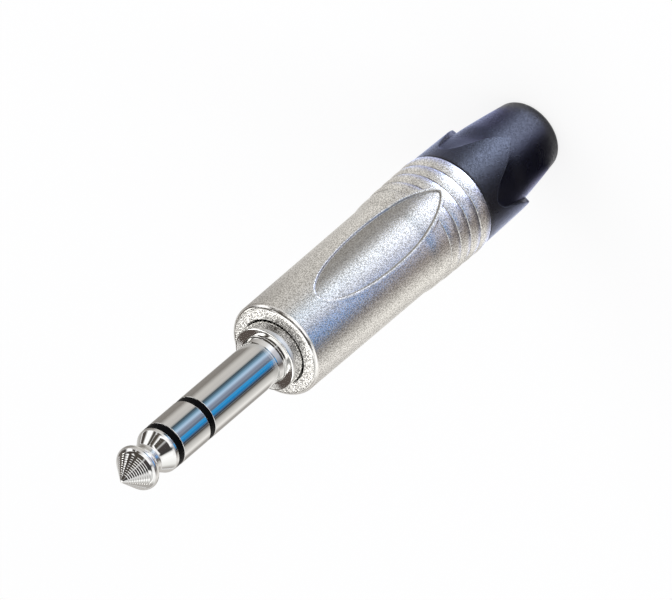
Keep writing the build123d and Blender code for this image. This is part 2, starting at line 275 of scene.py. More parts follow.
def turned(name: str, outline: Sequence[Point], closed: bool = False) -> bpy.types.Object:
    """Draw an outline vertex by vertex and spin it about the plug's axis.

    Args:
        name: Name of the new piece.
        outline: (radius, height) of each point, in millimetres.
        closed: Whether the last point is joined back to the first.

    Returns:
        The turned piece, with its seam and poles merged.
    """
    deselect_all()
    bpy.ops.mesh.primitive_plane_add(size=MM)
    piece = bpy.context.object
    piece.name = piece.data.name = name
    bpy.ops.object.mode_set(mode="EDIT")
    bpy.ops.mesh.select_all(action="SELECT")
    bpy.ops.mesh.merge(type="CENTER")
    places = [Vector((radius * MM, 0.0, height * MM)) for radius, height in outline]
    if closed:
        places.append(places[0])
    bpy.ops.transform.translate(value=places[0])
    for before, after in zip(places, places[1:]):
        bpy.ops.mesh.extrude_vertices_move(TRANSFORM_OT_translate={"value": after - before})
    bpy.ops.mesh.select_all(action="SELECT")
    bpy.ops.mesh.remove_doubles(threshold=SEAM)
    bpy.ops.mesh.select_all(action="SELECT")
    bpy.ops.mesh.spin(steps=SPIN_STEPS, angle=FULL_TURN, center=(0, 0, 0), axis=(0, 0, 1))
    close_up()
    return piece


def modified(piece: bpy.types.Object, kind: str, **settings: object) -> None:
    """Add a modifier to a piece and apply it.

    Args:
        piece: The piece.
        kind: The modifier's type.
        settings: Its properties.
    """
    pick(piece)
    modifier = piece.modifiers.new(kind.title(), kind)
    for key, value in settings.items():
        setattr(modifier, key, value)
    bpy.ops.object.modifier_apply(modifier=modifier.name)


def pressed(
    sections: Sequence[Sequence[Marked]], mark_name: str, across: tuple[bool, bool, bool]
) -> bpy.types.Object:
    """Press a plain grid to a surface and mirror it.

    Args:
        sections: Place in millimetres and mark of each point, row by row.
        mark_name: Name of the attribute that keeps the marks.
        across: The axes that it is mirrored along.

    Returns:
        The sheet.
    """
    rows, columns = len(sections) - 1, len(sections[0]) - 1
    deselect_all()
    bpy.ops.mesh.primitive_grid_add(x_subdivisions=columns, y_subdivisions=rows, size=2.0)
    piece = bpy.context.object
    marks = piece.data.attributes.new(mark_name, "FLOAT", "POINT")
    for vertex, mark in zip(piece.data.vertices, marks.data):
        column = round((vertex.co.x + 1) / 2 * columns)
        row = round((vertex.co.y + 1) / 2 * rows)
        place, mark.value = sections[row][column]
        vertex.co = place * MM
    modified(piece, "MIRROR", use_axis=across, use_clip=True, merge_threshold=SEAM)
    return piece


def joined(name: str, parts: Sequence[bpy.types.Object]) -> bpy.types.Object:
    """Join sheets that share their edges into one closed piece.

    Args:
        name: Name of the piece.
        parts: The sheets.

    Returns:
        The piece, with its shared edges merged and its faces pointing outwards.
    """
    deselect_all()
    for part in parts:
        part.select_set(True)
    bpy.context.view_layer.objects.active = parts[0]
    bpy.ops.object.join()
    piece = bpy.context.object
    piece.name = piece.data.name = name
    bpy.ops.object.mode_set(mode="EDIT")
    close_up(5 * SEAM, SEAM / 10)
    return piece


def turn_about(piece: bpy.types.Object, degrees: float) -> None:
    """Turn a piece about the plug's axis and keep the turn in its mesh.

    Args:
        piece: The piece.
        degrees: How far it turns.
    """
    pick(piece)
    piece.rotation_euler = (0.0, 0.0, math.radians(degrees))
    bpy.ops.object.transform_apply(location=False, rotation=True, scale=False)


def copied(piece: bpy.types.Object, degrees: float) -> bpy.types.Object:
    """A copy of a piece with a mesh of its own, turned about the plug's axis.

    Args:
        piece: The piece.
        degrees: How far the copy is turned.

    Returns:
        The copy.
    """
    pick(piece)
    bpy.ops.object.duplicate(linked=False)
    copy = bpy.context.object
    turn_about(copy, degrees)
    return copy


def fit_out(
    piece: bpy.types.Object,
    finishes: "Finishes",
    body: Body,
    slot: Slot,
    stands_for: str = "",
    sharp_deg: float = 40.0,
) -> None:
    """Smooth a finished piece, give it its finish and hang it on its body.

    Args:
        piece: The piece.
        finishes: The finishes by slot.
        body: The body that it moves with.
        slot: The record's slot for its finish.
        stands_for: The node that it replaces, if it does.
        sharp_deg: Edges that turn by more than this stay sharp.
    """
    pick(piece)
    bpy.ops.object.shade_smooth_by_angle(angle=math.radians(sharp_deg))
    piece.data.materials.clear()
    piece.data.materials.append(finishes.by_slot[slot])
    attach(piece, body.value)
    if stands_for:
        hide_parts(stands_for)
    LOG.info("%s: %d faces, on %s", piece.name, len(piece.data.polygons), body.value)


# Shader tools


class Value:
    """A shader socket with arithmetic: an expression on values adds its Math nodes."""

    def __init__(self, graph: "Graph", socket: bpy.types.NodeSocket | None) -> None:
        """Wrap an output socket of a graph."""
        self.graph = graph
        self.socket = socket

    def __add__(self, other: object) -> "Value":
        """Sum."""
        return self.graph.math("ADD", self, other)

    def __radd__(self, other: object) -> "Value":
        """Sum, reflected."""
        return self.graph.math("ADD", other, self)

    def __sub__(self, other: object) -> "Value":
        """Difference."""
        return self.graph.math("SUBTRACT", self, other)

    def __rsub__(self, other: object) -> "Value":
        """Difference, reflected."""
        return self.graph.math("SUBTRACT", other, self)

    def __mul__(self, other: object) -> "Value":
        """Product."""
        return self.graph.math("MULTIPLY", self, other)

    def __rmul__(self, other: object) -> "Value":
        """Product, reflected."""
        return self.graph.math("MULTIPLY", other, self)


class Graph:
    """The node tree of one material or of the world."""

    def __init__(self, tree: bpy.types.NodeTree) -> None:
        """Take over a tree and empty it."""
        self.tree = tree
        tree.nodes.clear()

    def node(
        self, kind: str, settings: dict[str, object], sockets: dict[object, object], out: object = 0
    ) -> Value:
        """Add a node.

        Args:
            kind: The node's type.
            settings: Its properties, or the stops of a ramp.
            sockets: A value, a colour or a link for each input, by name or number.
            out: The output to hand back, by name or number.

        Returns:
            That output.
        """
        node = self.tree.nodes.new(kind)
        for key, value in settings.items():
            if key == "stops":
                self._set_stops(node.color_ramp, value)
            else:
                setattr(node, key, value)
        for key, value in sockets.items():
            socket = node.inputs[key]
            if isinstance(value, Value):
                self.tree.links.new(value.socket, socket)
            else:
                socket.default_value = (*value, 1.0) if socket.type == "RGBA" else value
        return Value(self, node.outputs[out] if node.outputs else None)

    @staticmethod
    def _set_stops(ramp: bpy.types.ColorRamp, stops: Sequence[tuple[float, Colour]]) -> None:
        """Give a ramp its stops.

        Args:
            ramp: The ramp.
            stops: Place, from 0 to 1, and colour of each stop.
        """
        while len(ramp.elements) < len(stops):
            ramp.elements.new(1.0)
        for element, (place, colour) in zip(ramp.elements, stops):
            element.position = place
            element.color = (*colour, 1.0)

    def math(self, operation: str, first: object, second: object) -> Value:
        """One Math node on two values."""
        return self.node("ShaderNodeMath", {"operation": operation}, {0: first, 1: second})

    def place(self) -> Value:
        """Where a point lies on the piece, in metres."""
        return self.node("ShaderNodeTexCoord", {}, {}, "Object")

    def mark(self, name: str) -> Value:
        """The piece's own attribute of that name."""
        settings = {"attribute_type": "GEOMETRY", "attribute_name": name}
        return self.node("ShaderNodeAttribute", settings, {}, "Fac")

    def part(self, where: Value, axis: str) -> Value:
        """One coordinate of a place."""
        return self.node("ShaderNodeSeparateXYZ", {}, {"Vector": where}, axis)

    def noise(self, where: Value, scale: float, detail: float = 2.0, roughness: float = 0.5) -> Value:
        """Noise from 0 to 1, with scale waves to the metre."""
        sockets = {"Vector": where, "Scale": scale, "Detail": detail, "Roughness": roughness}
        return self.node("ShaderNodeTexNoise", {}, sockets, "Fac")

    def streaks(self, along: Value, scale: float) -> Value:
        """Noise from 0 to 1 that changes along one value only."""
        sockets = {"W": along, "Scale": scale, "Detail": 3.0}
        return self.node("ShaderNodeTexNoise", {"noise_dimensions": "1D"}, sockets, "Fac")

    def share(self, value: Value, low: float, high: float) -> Value:
        """Share of the way from low to high, kept between 0 and 1."""
        sockets = {"Value": value, "From Min": low, "From Max": high}
        return self.node("ShaderNodeMapRange", {}, sockets, "Result")

    def stretched(self, where: Value, across: float, along: float) -> Value:
        """Coordinates scaled across and along the plug's axis."""
        return self.node("ShaderNodeMapping", {}, {"Vector": where, "Scale": (across, across, along)})

    def blend(self, share: object, first: object, second: object) -> Value:
        """Colour between two colours."""
        return self.node("ShaderNodeMix", {"data_type": "RGBA"}, {0: share, 6: first, 7: second}, 2)

    def bump(self, height: Value, strength: float, distance: float) -> Value:
        """Normal that is tilted by a height, with a distance in metres."""
        sockets = {"Height": height, "Strength": strength, "Distance": distance}
        return self.node("ShaderNodeBump", {}, sockets)

    def principled(self, sockets: dict[object, object]) -> Value:
        """A Principled shader."""
        return self.node("ShaderNodeBsdfPrincipled", {}, sockets)

    def glow(self, colour: object) -> Value:
        """A light that is as bright as its colour."""
        return self.node("ShaderNodeEmission", {}, {"Color": colour, "Strength": 1.0})

    def surface(self, shader: Value, output: str = "ShaderNodeOutputMaterial") -> None:
        """Send a shader to the output."""
        self.node(output, {}, {"Surface": shader})


def new_material(name: str) -> tuple[bpy.types.Material, Graph]:
    """Start a node material.

    Args:
        name: Its name.

    Returns:
        The material, empty, and its graph.
    """
    material = bpy.data.materials.new(name)
    material.use_nodes = True
    return material, Graph(material.node_tree)


@dataclass(frozen=True)
class PolishedNickel:
    """Bright nickel plate over turned brass, with fine rings from the lathe."""

    colour: Colour = (0.86, 0.855, 0.84)
    roughness: float = 0.025
    ring_scale: float = 9000.0
    ring_stretch: float = 0.02
    ring_strength: float = 0.35
    ring_depth: float = 0.0000012
    haze: float = 0.025
    haze_scale: float = 420.0
    haze_tone: float = 0.93

    def material(self) -> bpy.types.Material:
        """Build the material.

        Returns:
            The material.
        """
        material, graph = new_material("nickel_polished")
        where = graph.place()
        rings = graph.noise(graph.stretched(where, self.ring_stretch, 1.0), self.ring_scale, 3.0)
        haze = graph.noise(where, self.haze_scale, 3.0)
        dulled = tuple(self.haze_tone * part for part in self.colour)
        shader = graph.principled(
            {
                "Base Color": graph.blend(haze, dulled, self.colour),
                "Metallic": 1.0,
                "Roughness": self.roughness + self.haze * haze,
                "Normal": graph.bump(rings, self.ring_strength, self.ring_depth),
            }
        )
        graph.surface(shader)
        return material


@dataclass(frozen=True)
class SatinNickel:
    """Nickel plate on a blasted die casting, coarser on its front face, with painted shade in its grooves and
    recesses.

    Its shade attribute is above 0 where shade is painted into the grooves and recesses, and -1 on the ovals'
    floors, whose half away from the highlight is painted darker.
    """

    front_face: float
    colour: Colour = (0.98, 0.965, 0.935)
    dark: Colour = (0.5, 0.485, 0.46)
    # Colour of the shade painted into the grooves and recesses
    painted_shade: Colour = (0.26, 0.25, 0.24)
    roughness: float = 0.2
    grain_roughness: float = 0.1
    edge_gloss: float = 0.08
    grain_scale: float = 7200.0
    grain_depth: float = 0.00003
    speck_scale: float = 0.9
    speck_range: Point = (0.38, 0.58)
    rim_width: float = 0.0006
    rim_calm: float = 0.7
    rim_light: float = 0.8
    front_depth: float = 0.00006
    front_dark: Colour = (0.3, 0.29, 0.28)
    # Painted shade on the half of each oval's floor away from the highlight: its colour, its share, and the
    # turn and spread of that half
    floor_painted_shade: Colour = (0.2, 0.19, 0.18)
    floor_share: float = 0.6
    oval_turn_deg: float = -90.0
    oval_lean: float = 40000.0
    oval_range: Point = (-0.05, 0.35)

    def material(self) -> bpy.types.Material:
        """Build the material.

        Returns:
            The material.
        """
        material, graph = new_material("nickel_satin")
        where = graph.place()
        grain = graph.noise(where, self.grain_scale, 1.0, 0.6)
        specks = graph.noise(where, self.speck_scale * self.grain_scale, 0.0, 0.5)
        height = graph.part(where, "Z")
        front = graph.math("GREATER_THAN", height, self.front_face)
        edge = graph.math("GREATER_THAN", height, self.front_face - self.rim_width)
        rim = edge - front
        relief = grain * (1 + front * (self.front_depth / self.grain_depth - 1) - self.rim_calm * rim)
        mark = graph.mark("painted_shade")
        painted_shade = graph.math("MAXIMUM", mark, 0.0)
        floor = graph.math("MAXIMUM", 0.0 - mark, 0.0)
        dark = graph.blend(front, self.dark, self.front_dark)
        tone = graph.blend(graph.share(specks, *self.speck_range), dark, self.colour)
        tone = graph.blend(self.rim_light * rim, tone, self.colour)
        # Painted shade: one half of each oval's floor is darkened towards the shade colour
        shaded_half = floor * self._shaded_half(graph, where)
        tone = graph.blend(self.floor_share * shaded_half, tone, self.floor_painted_shade)
        # Painted shade: where the shade mark is above 0 the colour goes dark
        tone = graph.blend(painted_shade, tone, self.painted_shade)
        shader = graph.principled(
            {
                "Base Color": tone,
                "Metallic": 1.0,
                "Roughness": self.roughness + self.grain_roughness * grain - self.edge_gloss * edge,
                "Normal": graph.bump(relief, 1.0, self.grain_depth),
            }
        )
        graph.surface(shader)
        return material

    def _shaded_half(self, graph: Graph, where: Value) -> Value:
        """Find the half of each oval's floor that is painted darker, the half away from the highlight.

        Args:
            graph: The material's graph.
            where: The place on the piece.

        Returns:
            Share that is 1 over that half and 0 over the other.
        """
        turn = (0.0, 0.0, math.radians(-self.oval_turn_deg))
        aligned = graph.node("ShaderNodeMapping", {}, {"Vector": where, "Rotation": turn})
        lean = graph.part(aligned, "X") * graph.part(aligned, "Y") * self.oval_lean
        return graph.share(lean, *self.oval_range)


@dataclass(frozen=True)
class MouldedPlastic:
    """A dark moulded plastic with a fine spark-eroded grain.

    The attribute "edge" is above 0 along the crests, whose colour is lightened as a painted highlight, and on
    the petals, which are painted slightly lighter than the scoops; it is below 0 in creases, which are made
    rougher.
    """

    name: str
    colour: Colour
    light: Colour
    roughness: float
    specular: float = 0.5
    painted_edge_light: Colour = (0.04, 0.045, 0.06)
    cloud_scale: float = 260.0
    cloud_roughness: float = 0.08
    crease_roughness: float = 0.6
    grain_scale: float = 6500.0
    grain_depth: float = 0.00005
    mottle: float = 0.0
    mottle_scale: float = 4200.0
    mottle_range: Point = (0.38, 0.62)

    def material(self) -> bpy.types.Material:
        """Build the material.

        Returns:
            The material.
        """
        material, graph = new_material(self.name)
        where = graph.place()
        grain = graph.noise(where, self.grain_scale, 2.0)
        cloud = graph.noise(where, self.cloud_scale, 3.0)
        mottle = graph.share(graph.noise(where, self.mottle_scale, 1.0), *self.mottle_range)
        edge = graph.mark("edge")
        # Painted highlight: where the edge mark is above 0 the colour is lightened
        light = graph.math("MAXIMUM", edge, 0.0)
        crease = graph.math("MAXIMUM", 0.0 - edge, 0.0)
        tone = graph.blend(cloud, self.colour, self.light)
        rough = self.roughness + self.cloud_roughness * cloud + self.crease_roughness * crease
        shader = graph.principled(
            {
                "Base Color": graph.blend(light, tone, self.painted_edge_light),
                "Roughness": rough,
                "Specular IOR Level": self.specular,
                "Coat Weight": self.mottle * mottle,
                "Coat Roughness": self.roughness,
                "Normal": graph.bump(grain, 1.0, self.grain_depth),
            }
        )
        graph.surface(shader)
        return material


@dataclass(frozen=True)
class TinnedBrass:
    """Dull tin over stamped brass."""

    colour: Colour = (0.72, 0.71, 0.69)
    worn: Colour = (0.66, 0.6, 0.5)
    roughness: float = 0.34
    cloud_scale: float = 700.0
    cloud_roughness: float = 0.15
    brush_scale: float = 5200.0
    brush_stretch: float = 0.08
    brush_strength: float = 0.3
    brush_depth: float = 0.000006

    def material(self) -> bpy.types.Material:
        """Build the material.

        Returns:
            The material.
        """
        material, graph = new_material("tinned_brass")
        where = graph.place()
        cloud = graph.noise(where, self.cloud_scale, 4.0)
        brush = graph.noise(graph.stretched(where, 1.0, self.brush_stretch), self.brush_scale)
        shader = graph.principled(
            {
                "Base Color": graph.blend(cloud, self.worn, self.colour),
                "Metallic": 1.0,
                "Roughness": self.roughness + self.cloud_roughness * cloud,
                "Normal": graph.bump(brush, self.brush_strength, self.brush_depth),
            }
        )
        graph.surface(shader)
        return material


@dataclass
class Finishes:
    """One material for each slot, shared by all the pieces."""

    by_slot: dict[Slot, bpy.types.Material]

    @classmethod
    def make(cls, levels: Levels) -> "Finishes":
        """Build every finish.

        Args:
            levels: Heights along the plug, for the finish of the shell's front face.

        Returns:
            The finishes by slot.
        """
        face_edge = 0.16
        finishes = {
            Slot.POLISHED: PolishedNickel(),
            Slot.SATIN: SatinNickel((levels.shell_front - face_edge) * MM),
            Slot.TINNED: TinnedBrass(),
            Slot.INSULATOR: MouldedPlastic(
                "black_insulator", (0.0015, 0.0015, 0.002), (0.002, 0.002, 0.0025), 0.16, 0.03
            ),
            Slot.BOOT: MouldedPlastic(
                "boot_plastic", (0.0022, 0.0022, 0.005), (0.0034, 0.0034, 0.007), 0.24, 0.35, mottle=0.45
            ),
            Slot.CHUCK: MouldedPlastic("chuck_plastic", (0.04, 0.04, 0.044), (0.06, 0.06, 0.066), 0.5),
        }
        return cls({slot: finish.material() for slot, finish in finishes.items()})


# The plug's pieces


@dataclass
class Finger:
    """The finger: tip, ring and sleeve contacts with two insulators between them.

    The nose, crown and neck of the tip are (radius, depth below the apex, rounding).
    """

    levels: Levels
    finishes: Finishes
    radius: float = 3.175
    nose: Corner = (0.14, 0.0, 0.32)
    crown: Corner = (3.41, 3.38, 1.0)
    neck: Corner = (1.84, 5.57, 0.67)
    collar_radius: float = 3.13
    collar_length: float = 0.55
    collar_rounding: float = 0.8
    rod_radius: float = 0.8
    rivet_width: float = 0.35
    rivet_height: float = 0.4
    nest_gap: float = 0.02
    tube_gap: float = 0.02
    tip_tube_radius: float = 1.15
    ring_tube_radius: float = 1.67
    ring_sleeve_radius: float = 2.19
    edge: float = 0.1
    groove: float = 0.03
    groove_edge: float = 0.02
    groove_edge_deg: float = 9.0
    nose_cuts: Point = (0.55, 2.65)
    nose_pitch: float = 0.31
    nose_cut: float = 0.011
    face_cuts: Point = (3.5, 4.3)
    face_pitch: float = 0.16
    face_cut: float = 0.0025
    root_radius: float = 3.36
    root_height: float = 0.35
    root_taper: float = 1.05
    flange_radius: float = 4.56
    disc_radius: float = 5.37
    spigot_radius: float = 2.8
    lip_radius: float = 3.15
    lip_height: float = 0.4

    def _tip(self) -> list[Point]:
        """Outline of the tip contact, from the apex to the far end of its rod.

        Returns:
            (radius, height) of its points.
        """
        apex, foot = self.levels.apex, self.levels.tip_foot
        rod_foot = foot_of("tip_contact")
        rivet_radius, rivet_top = self.rod_radius + self.rivet_width, rod_foot + self.rivet_height
        slope = self.crown[1] / (self.crown[0] - self.nose[0])
        first, last = ((radius, apex - (radius - self.nose[0]) * slope) for radius in self.nose_cuts)
        turns = (self.nose, self.crown, self.neck)
        nose, crown, neck = ((radius, apex - depth, soft) for radius, depth, soft in turns)
        return rounded(
            [
                (0, apex),
                nose,
                *grooves(first, last, self.nose_pitch, self.nose_cut),
                crown,
                neck,
                (self.collar_radius, foot + self.collar_length, self.collar_rounding),
                (self.collar_radius, foot, self.edge),
                (self.rod_radius, foot),
                (self.rod_radius, rivet_top),
                (rivet_radius, rivet_top),
                (rivet_radius, rod_foot, 0.15),
                (0, rod_foot),
            ],
            FINE_ARC_DEG,
        )

    def _sleeve(self) -> list[Point]:
        """Outline of the sleeve contact with its root collar, flange and disc.

        Returns:
            (radius, height) of its points.
        """
        levels = self.levels
        shoulder = levels.shoulder
        bore = self.ring_sleeve_radius + self.nest_gap
        lip_foot = levels.carrier_front - self.lip_height
        first, last = ((radius, shoulder) for radius in self.face_cuts)
        return rounded(
            [
                (bore, (levels.sleeve_top + shoulder) / 2),
                (bore, levels.sleeve_top),
                (self.radius, levels.sleeve_top, self.edge),
                (self.radius, shoulder + self.root_taper, 0.5),
                (self.root_radius, shoulder + self.root_height, 0.12),
                (self.root_radius, shoulder, 0.06),
                *grooves(first, last, self.face_pitch, self.face_cut),
                (self.flange_radius, shoulder, 0.15),
                (self.flange_radius, levels.disc_front),
                (self.disc_radius, levels.disc_front, 0.1),
                (self.disc_radius, levels.disc_rear, 0.1),
                (self.spigot_radius, levels.disc_rear),
                (self.spigot_radius, levels.carrier_front),
                (self.lip_radius, levels.carrier_front),
                (self.lip_radius, lip_foot, 0.12),
                (bore, lip_foot),
            ]
        )

    def _nested(
        self, name: str, node: str, slot: Slot, top: float, step: float, bore: float, tube: float
    ) -> None:
        """Turn and dress a ring with a thinner tube behind it.

        Args:
            name: Name of the piece.
            node: The node that it replaces.
            slot: The slot of its finish, which also tells how far it stands out and its edges.
            top: Height of its front.
            step: Height where the tube begins.
            bore: Radius of its bore.
            tube: Radius of the tube.
        """
        inset = slot is Slot.INSULATOR
        outer = self.radius - self.groove if inset else self.radius
        edge = self.groove_edge if inset else self.edge
        foot = foot_of(node)
        outline = rounded(
            [
                (bore, (top + step) / 2),
                (bore, top),
                (outer, top, edge),
                (outer, step, edge),
                (tube, step),
                (tube, foot),
                (bore, foot),
            ]
        )
        fit_out(turned(name, outline, True), self.finishes, Body.SHELL, slot, node)

    def build(self) -> None:
        """Turn the five pieces and dress them."""
        levels = self.levels
        polished = (self.finishes, Body.SHELL, Slot.POLISHED)
        tip_bore = self.rod_radius + self.nest_gap
        ring_bore = self.tip_tube_radius + self.tube_gap + self.nest_gap
        sleeve_bore = self.ring_tube_radius + self.tube_gap + self.nest_gap
        fit_out(turned("tip", self._tip()), *polished, "tip_contact", self.groove_edge_deg)
        for name, node, slot, top, step, bore, tube in (
            ("tip_insulating_ring", "tip_insulator", Slot.INSULATOR,
             levels.tip_foot, levels.ring_top, tip_bore, self.tip_tube_radius),
            ("ring", "ring_contact", Slot.POLISHED,
             levels.ring_top, levels.ring_foot, ring_bore, self.ring_tube_radius),
            ("ring_insulating_ring", "ring_insulator", Slot.INSULATOR,
             levels.ring_foot, levels.sleeve_top, sleeve_bore, self.ring_sleeve_radius),
        ):
            self._nested(name, node, slot, top, step, bore, tube)
        fit_out(turned("sleeve", self._sleeve(), True), *polished, "sleeve_contact", self.groove_edge_deg)


@dataclass
class Shell:
    """The die-cast shell: grip bands, flare, two sunk ovals with a soft lip, bore and thread."""

    levels: Levels
    finishes: Finishes
    front_radius: float = 6.65
    waist_radius: float = 6.8
    waist_height: float = 31.2
    front_rounding: float = 0.8
    front_fall: float = 0.13
    flare_radius: float = 7.1
    flare_mid_radius: float = 6.95
    flare_mid_height: float = 30.0
    flare_mid_slope: float = -0.141
    band_front_radius: float = 7.02
    band_rear_radius: float = 7.15
    band_rise: float = 0.12
    rear_band: float = 2.3
    band_pitch: float = 2.15
    band_count: int = 3
    line_softness: float = 0.03
    line_depth: float = 0.06
    line_reach: float = 0.09
    # Painted shade along the lines between the bands
    line_painted_shade: float = 0.7
    rear_rounding: float = 0.3
    opening_radius: float = 4.7
    bore_radius: float = 5.45
    thread_radius: float = 6.0
    thread_length: float = 8.5
    oval_half_width: float = 3.42
    oval_front_reach: float = 13.25
    oval_rear_reach: float = 13.1
    oval_mid: float = 37.0
    oval_rear_growth: float = 0.85
    oval_rear_power: float = 2.4
    oval_rear_bluntness: float = 0.75
    floor_reach: float = -0.12
    belt_front: float = 52.0
    closest_rows: float = 0.02

    # Where rows lie: shares of a band, offsets from a line, and first offset, pitch and number of
    # the rows at the oval's two ends
    band_rows: tuple[float, ...] = (0.12, 0.24, 0.38, 0.5, 0.62, 0.76, 0.88)
    line_rows: tuple[float, ...] = (-0.15, -0.09, -0.045, 0.0, 0.045, 0.09, 0.15)
    front_rows: tuple[float, float, int] = (-0.35, 0.045, 27)
    rear_rows: tuple[float, float, int] = (-0.72, 0.06, 38)
    middle_step_deg: int = 2
    middle_last_deg: int = 78
    middle_margins: Point = (0.3, 1.3)
    floor_shares: tuple[float, ...] = (0.0, 0.25, 0.5, 0.75)

    # Growth of the oval's outline, height over the plain shell, share of the bands, and painted shade at its
    # wall
    rings: tuple[tuple[float, float, float, float], ...] = (
        (-0.6, -0.3, 0, 0), (-0.35, -0.3, 0, 0), (-0.22, -0.3, 0, 0), (-0.14, -0.3, 0, 0.1),
        (-0.08, -0.305, 0, 0.5), (-0.04, -0.29, 0, 0.75), (0.0, -0.22, 0, 0.75), (0.04, -0.12, 0, 0.6),
        (0.08, -0.05, 0, 0.3), (0.13, -0.012, 0, 0.05), (0.2, 0.008, 0, 0), (0.28, 0.018, 0, 0),
        (0.36, 0.022, 0, 0), (0.46, 0.021, 0, 0), (0.57, 0.017, 0.1, 0), (0.65, 0.011, 0.4, 0),
        (0.74, 0.004, 0.8, 0), (0.84, 0, 1, 0),
    )

    @property
    def line_heights(self) -> list[float]:
        """Heights of the lines between the bands, with the shell's rear edge first."""
        rear = self.levels.shell_rear
        first = rear + self.rear_band
        return [rear] + [first + index * self.band_pitch for index in range(self.band_count + 1)]

    @property
    def bands_top(self) -> float:
        """Height of the foremost line between bands."""
        return self.levels.shell_rear + self.rear_band + self.band_count * self.band_pitch

    @property
    def belt_rear(self) -> float:
        """Height of the belt's rear edge, where the rear rounding begins."""
        return self.levels.shell_rear + self.rear_rounding

    def _forward_radius(self, height: float, foot_radius: float) -> float:
        """Radius in front of the bands, on the flare and then on the slightly tapered tube.

        Args:
            height: Height in millimetres.
            foot_radius: Radius where the flare meets the bands.

        Returns:
            The radius there.
        """
        if height >= self.waist_height:
            top = self.levels.shell_front - self.front_rounding
            share = (height - self.waist_height) / (top - self.waist_height)
            return self.waist_radius + share * (self.front_radius - self.waist_radius)
        low = (self.bands_top, foot_radius, 0.0)
        high = (self.flare_mid_height, self.flare_mid_radius, self.flare_mid_slope)
        if height >= self.flare_mid_height:
            low, high = high, (self.waist_height, self.waist_radius, 0.0)
        span = high[0] - low[0]
        return hermite((height - low[0]) / span, span, low[1], low[2], high[1], high[2])

    def _band_share(self, height: float) -> float:
        """Share of the way from the shell's rear edge to the foremost line."""
        return (height - self.levels.shell_rear) / (self.bands_top - self.levels.shell_rear)

    def plain_radius(self, height: float) -> float:
        """Radius of the shell without its bands.

        Args:
            height: Height in millimetres.

        Returns:
            The radius there.
        """
        if height >= self.bands_top:
            return self._forward_radius(height, self.flare_radius)
        rear = self.band_rear_radius + self.band_rise
        return rear + self._band_share(height) * (self.flare_radius - rear)

    def banded_radius(self, height: float) -> float:
        """Radius of the shell with its bands.

        Args:
            height: Height in millimetres.

        Returns:
            The radius there.
        """
        if height >= self.bands_top:
            return self._forward_radius(height, self.band_front_radius)
        rise = self.band_front_radius - self.band_rear_radius
        chord = self.band_rear_radius + self._band_share(height) * rise
        lines = self.line_heights
        low = max(line for line in lines if line <= height + SEAM)
        high = min(line for line in lines if line > height)
        nearest = min(height - low, high - height)
        soft = math.hypot(nearest, self.line_softness) / (high - low)
        cut = self.line_depth * self._nearness(height)
        return chord + 4 * self.band_rise * soft * (1 - soft) - cut

    def _nearness(self, height: float) -> float:
        """Share from 0 to 1 that is 1 on a line between bands."""
        away = min(abs(height - line) for line in self.line_heights[1:])
        return 1 - smooth_step(away / self.line_reach)

    def _stations(self) -> list[float]:
        """Find the heights of the belt's rows, closer near the lines and at the oval's ends.

        Returns:
            The heights, from the rear.
        """
        heights = [self.belt_rear, self.belt_front, self.oval_mid]
        for below, above in zip(self.line_heights, self.line_heights[1:]):
            heights += [below + share * (above - below) for share in self.band_rows]
            heights += [above + offset for offset in self.line_rows]
        for end, (first, pitch, count) in (
            (self.oval_mid + self.oval_front_reach, self.front_rows),
            (self.oval_mid - self.oval_rear_reach, self.rear_rows),
        ):
            heights += [end + first + pitch * step for step in range(count)]
        front_margin, rear_margin = self.middle_margins
        for degrees in range(self.middle_step_deg, self.middle_last_deg + 1, self.middle_step_deg):
            share = math.sin(math.radians(degrees))
            heights.append(self.oval_mid + (self.oval_front_reach - front_margin) * share)
            heights.append(self.oval_mid - (self.oval_rear_reach - rear_margin) * share)
        stations: list[float] = []
        for height in sorted(heights):
            if not stations or height - stations[-1] > self.closest_rows:
                stations.append(height)
        stations[-1] = self.belt_front
        return [height for height in stations if height >= self.belt_rear]

    def _turned_rest(self) -> bpy.types.Object:
        """Turn all of the shell but the belt: its front, bore, thread space and rear edge.

        Returns:
            The turned sheet.
        """
        front, rear, disc_front = self.levels.shell_front, self.levels.shell_rear, self.levels.disc_front
        rear_radius = self.banded_radius(self.belt_rear)
        corners = [
            (self.banded_radius(self.belt_front), self.belt_front),
            (self.front_radius, front - self.front_fall, self.front_rounding),
            (self.opening_radius, front, 0.15),
            (self.opening_radius, disc_front),
            (self.bore_radius, disc_front),
            (self.bore_radius, rear + self.thread_length),
            (self.thread_radius, rear + self.thread_length),
            (self.thread_radius, rear, 0.15),
            (rear_radius, rear, self.rear_rounding),
            (rear_radius, self.belt_rear),
        ]
        return turned("shell_rest", rounded(corners, FINE_ARC_DEG))

    def _half_width(self, grow: float, height: float) -> float:
        """Half of the oval's width.

        Args:
            grow: How far its outline is grown, or shrunk where below 0.
            height: Height in millimetres.

        Returns:
            The half width there.
        """
        half = self.oval_half_width + grow
        if height >= self.oval_mid:
            share = min(1.0, (height - self.oval_mid) / (self.oval_front_reach + grow))
            return half * math.sqrt(1 - share**2)
        reach = self.oval_rear_reach + self.oval_rear_growth * grow
        share = min(1.0, (self.oval_mid - height) / reach)
        return half * (1 - share**self.oval_rear_power) ** self.oval_rear_bluntness

    def _growth_at_middle(self, height: float) -> float:
        """Growth of the outline whose end lies at a height.

        Args:
            height: Height in millimetres.

        Returns:
            The growth.
        """
        if height >= self.oval_mid:
            return height - self.oval_mid - self.oval_front_reach
        return (self.oval_mid - height - self.oval_rear_reach) / self.oval_rear_growth

    def _ring_at(self, grow: float) -> Sequence[float]:
        """Read the lip's table.

        Args:
            grow: Growth of the outline.

        Returns:
            A row of the table for it.
        """
        grow = min(max(grow, self.rings[0][0]), self.rings[-1][0])
        index = max(place for place, ring in enumerate(self.rings[:-1]) if ring[0] <= grow)
        below, above = self.rings[index], self.rings[index + 1]
        share = (grow - below[0]) / (above[0] - below[0])
        return [low + share * (high - low) for low, high in zip(below, above)]

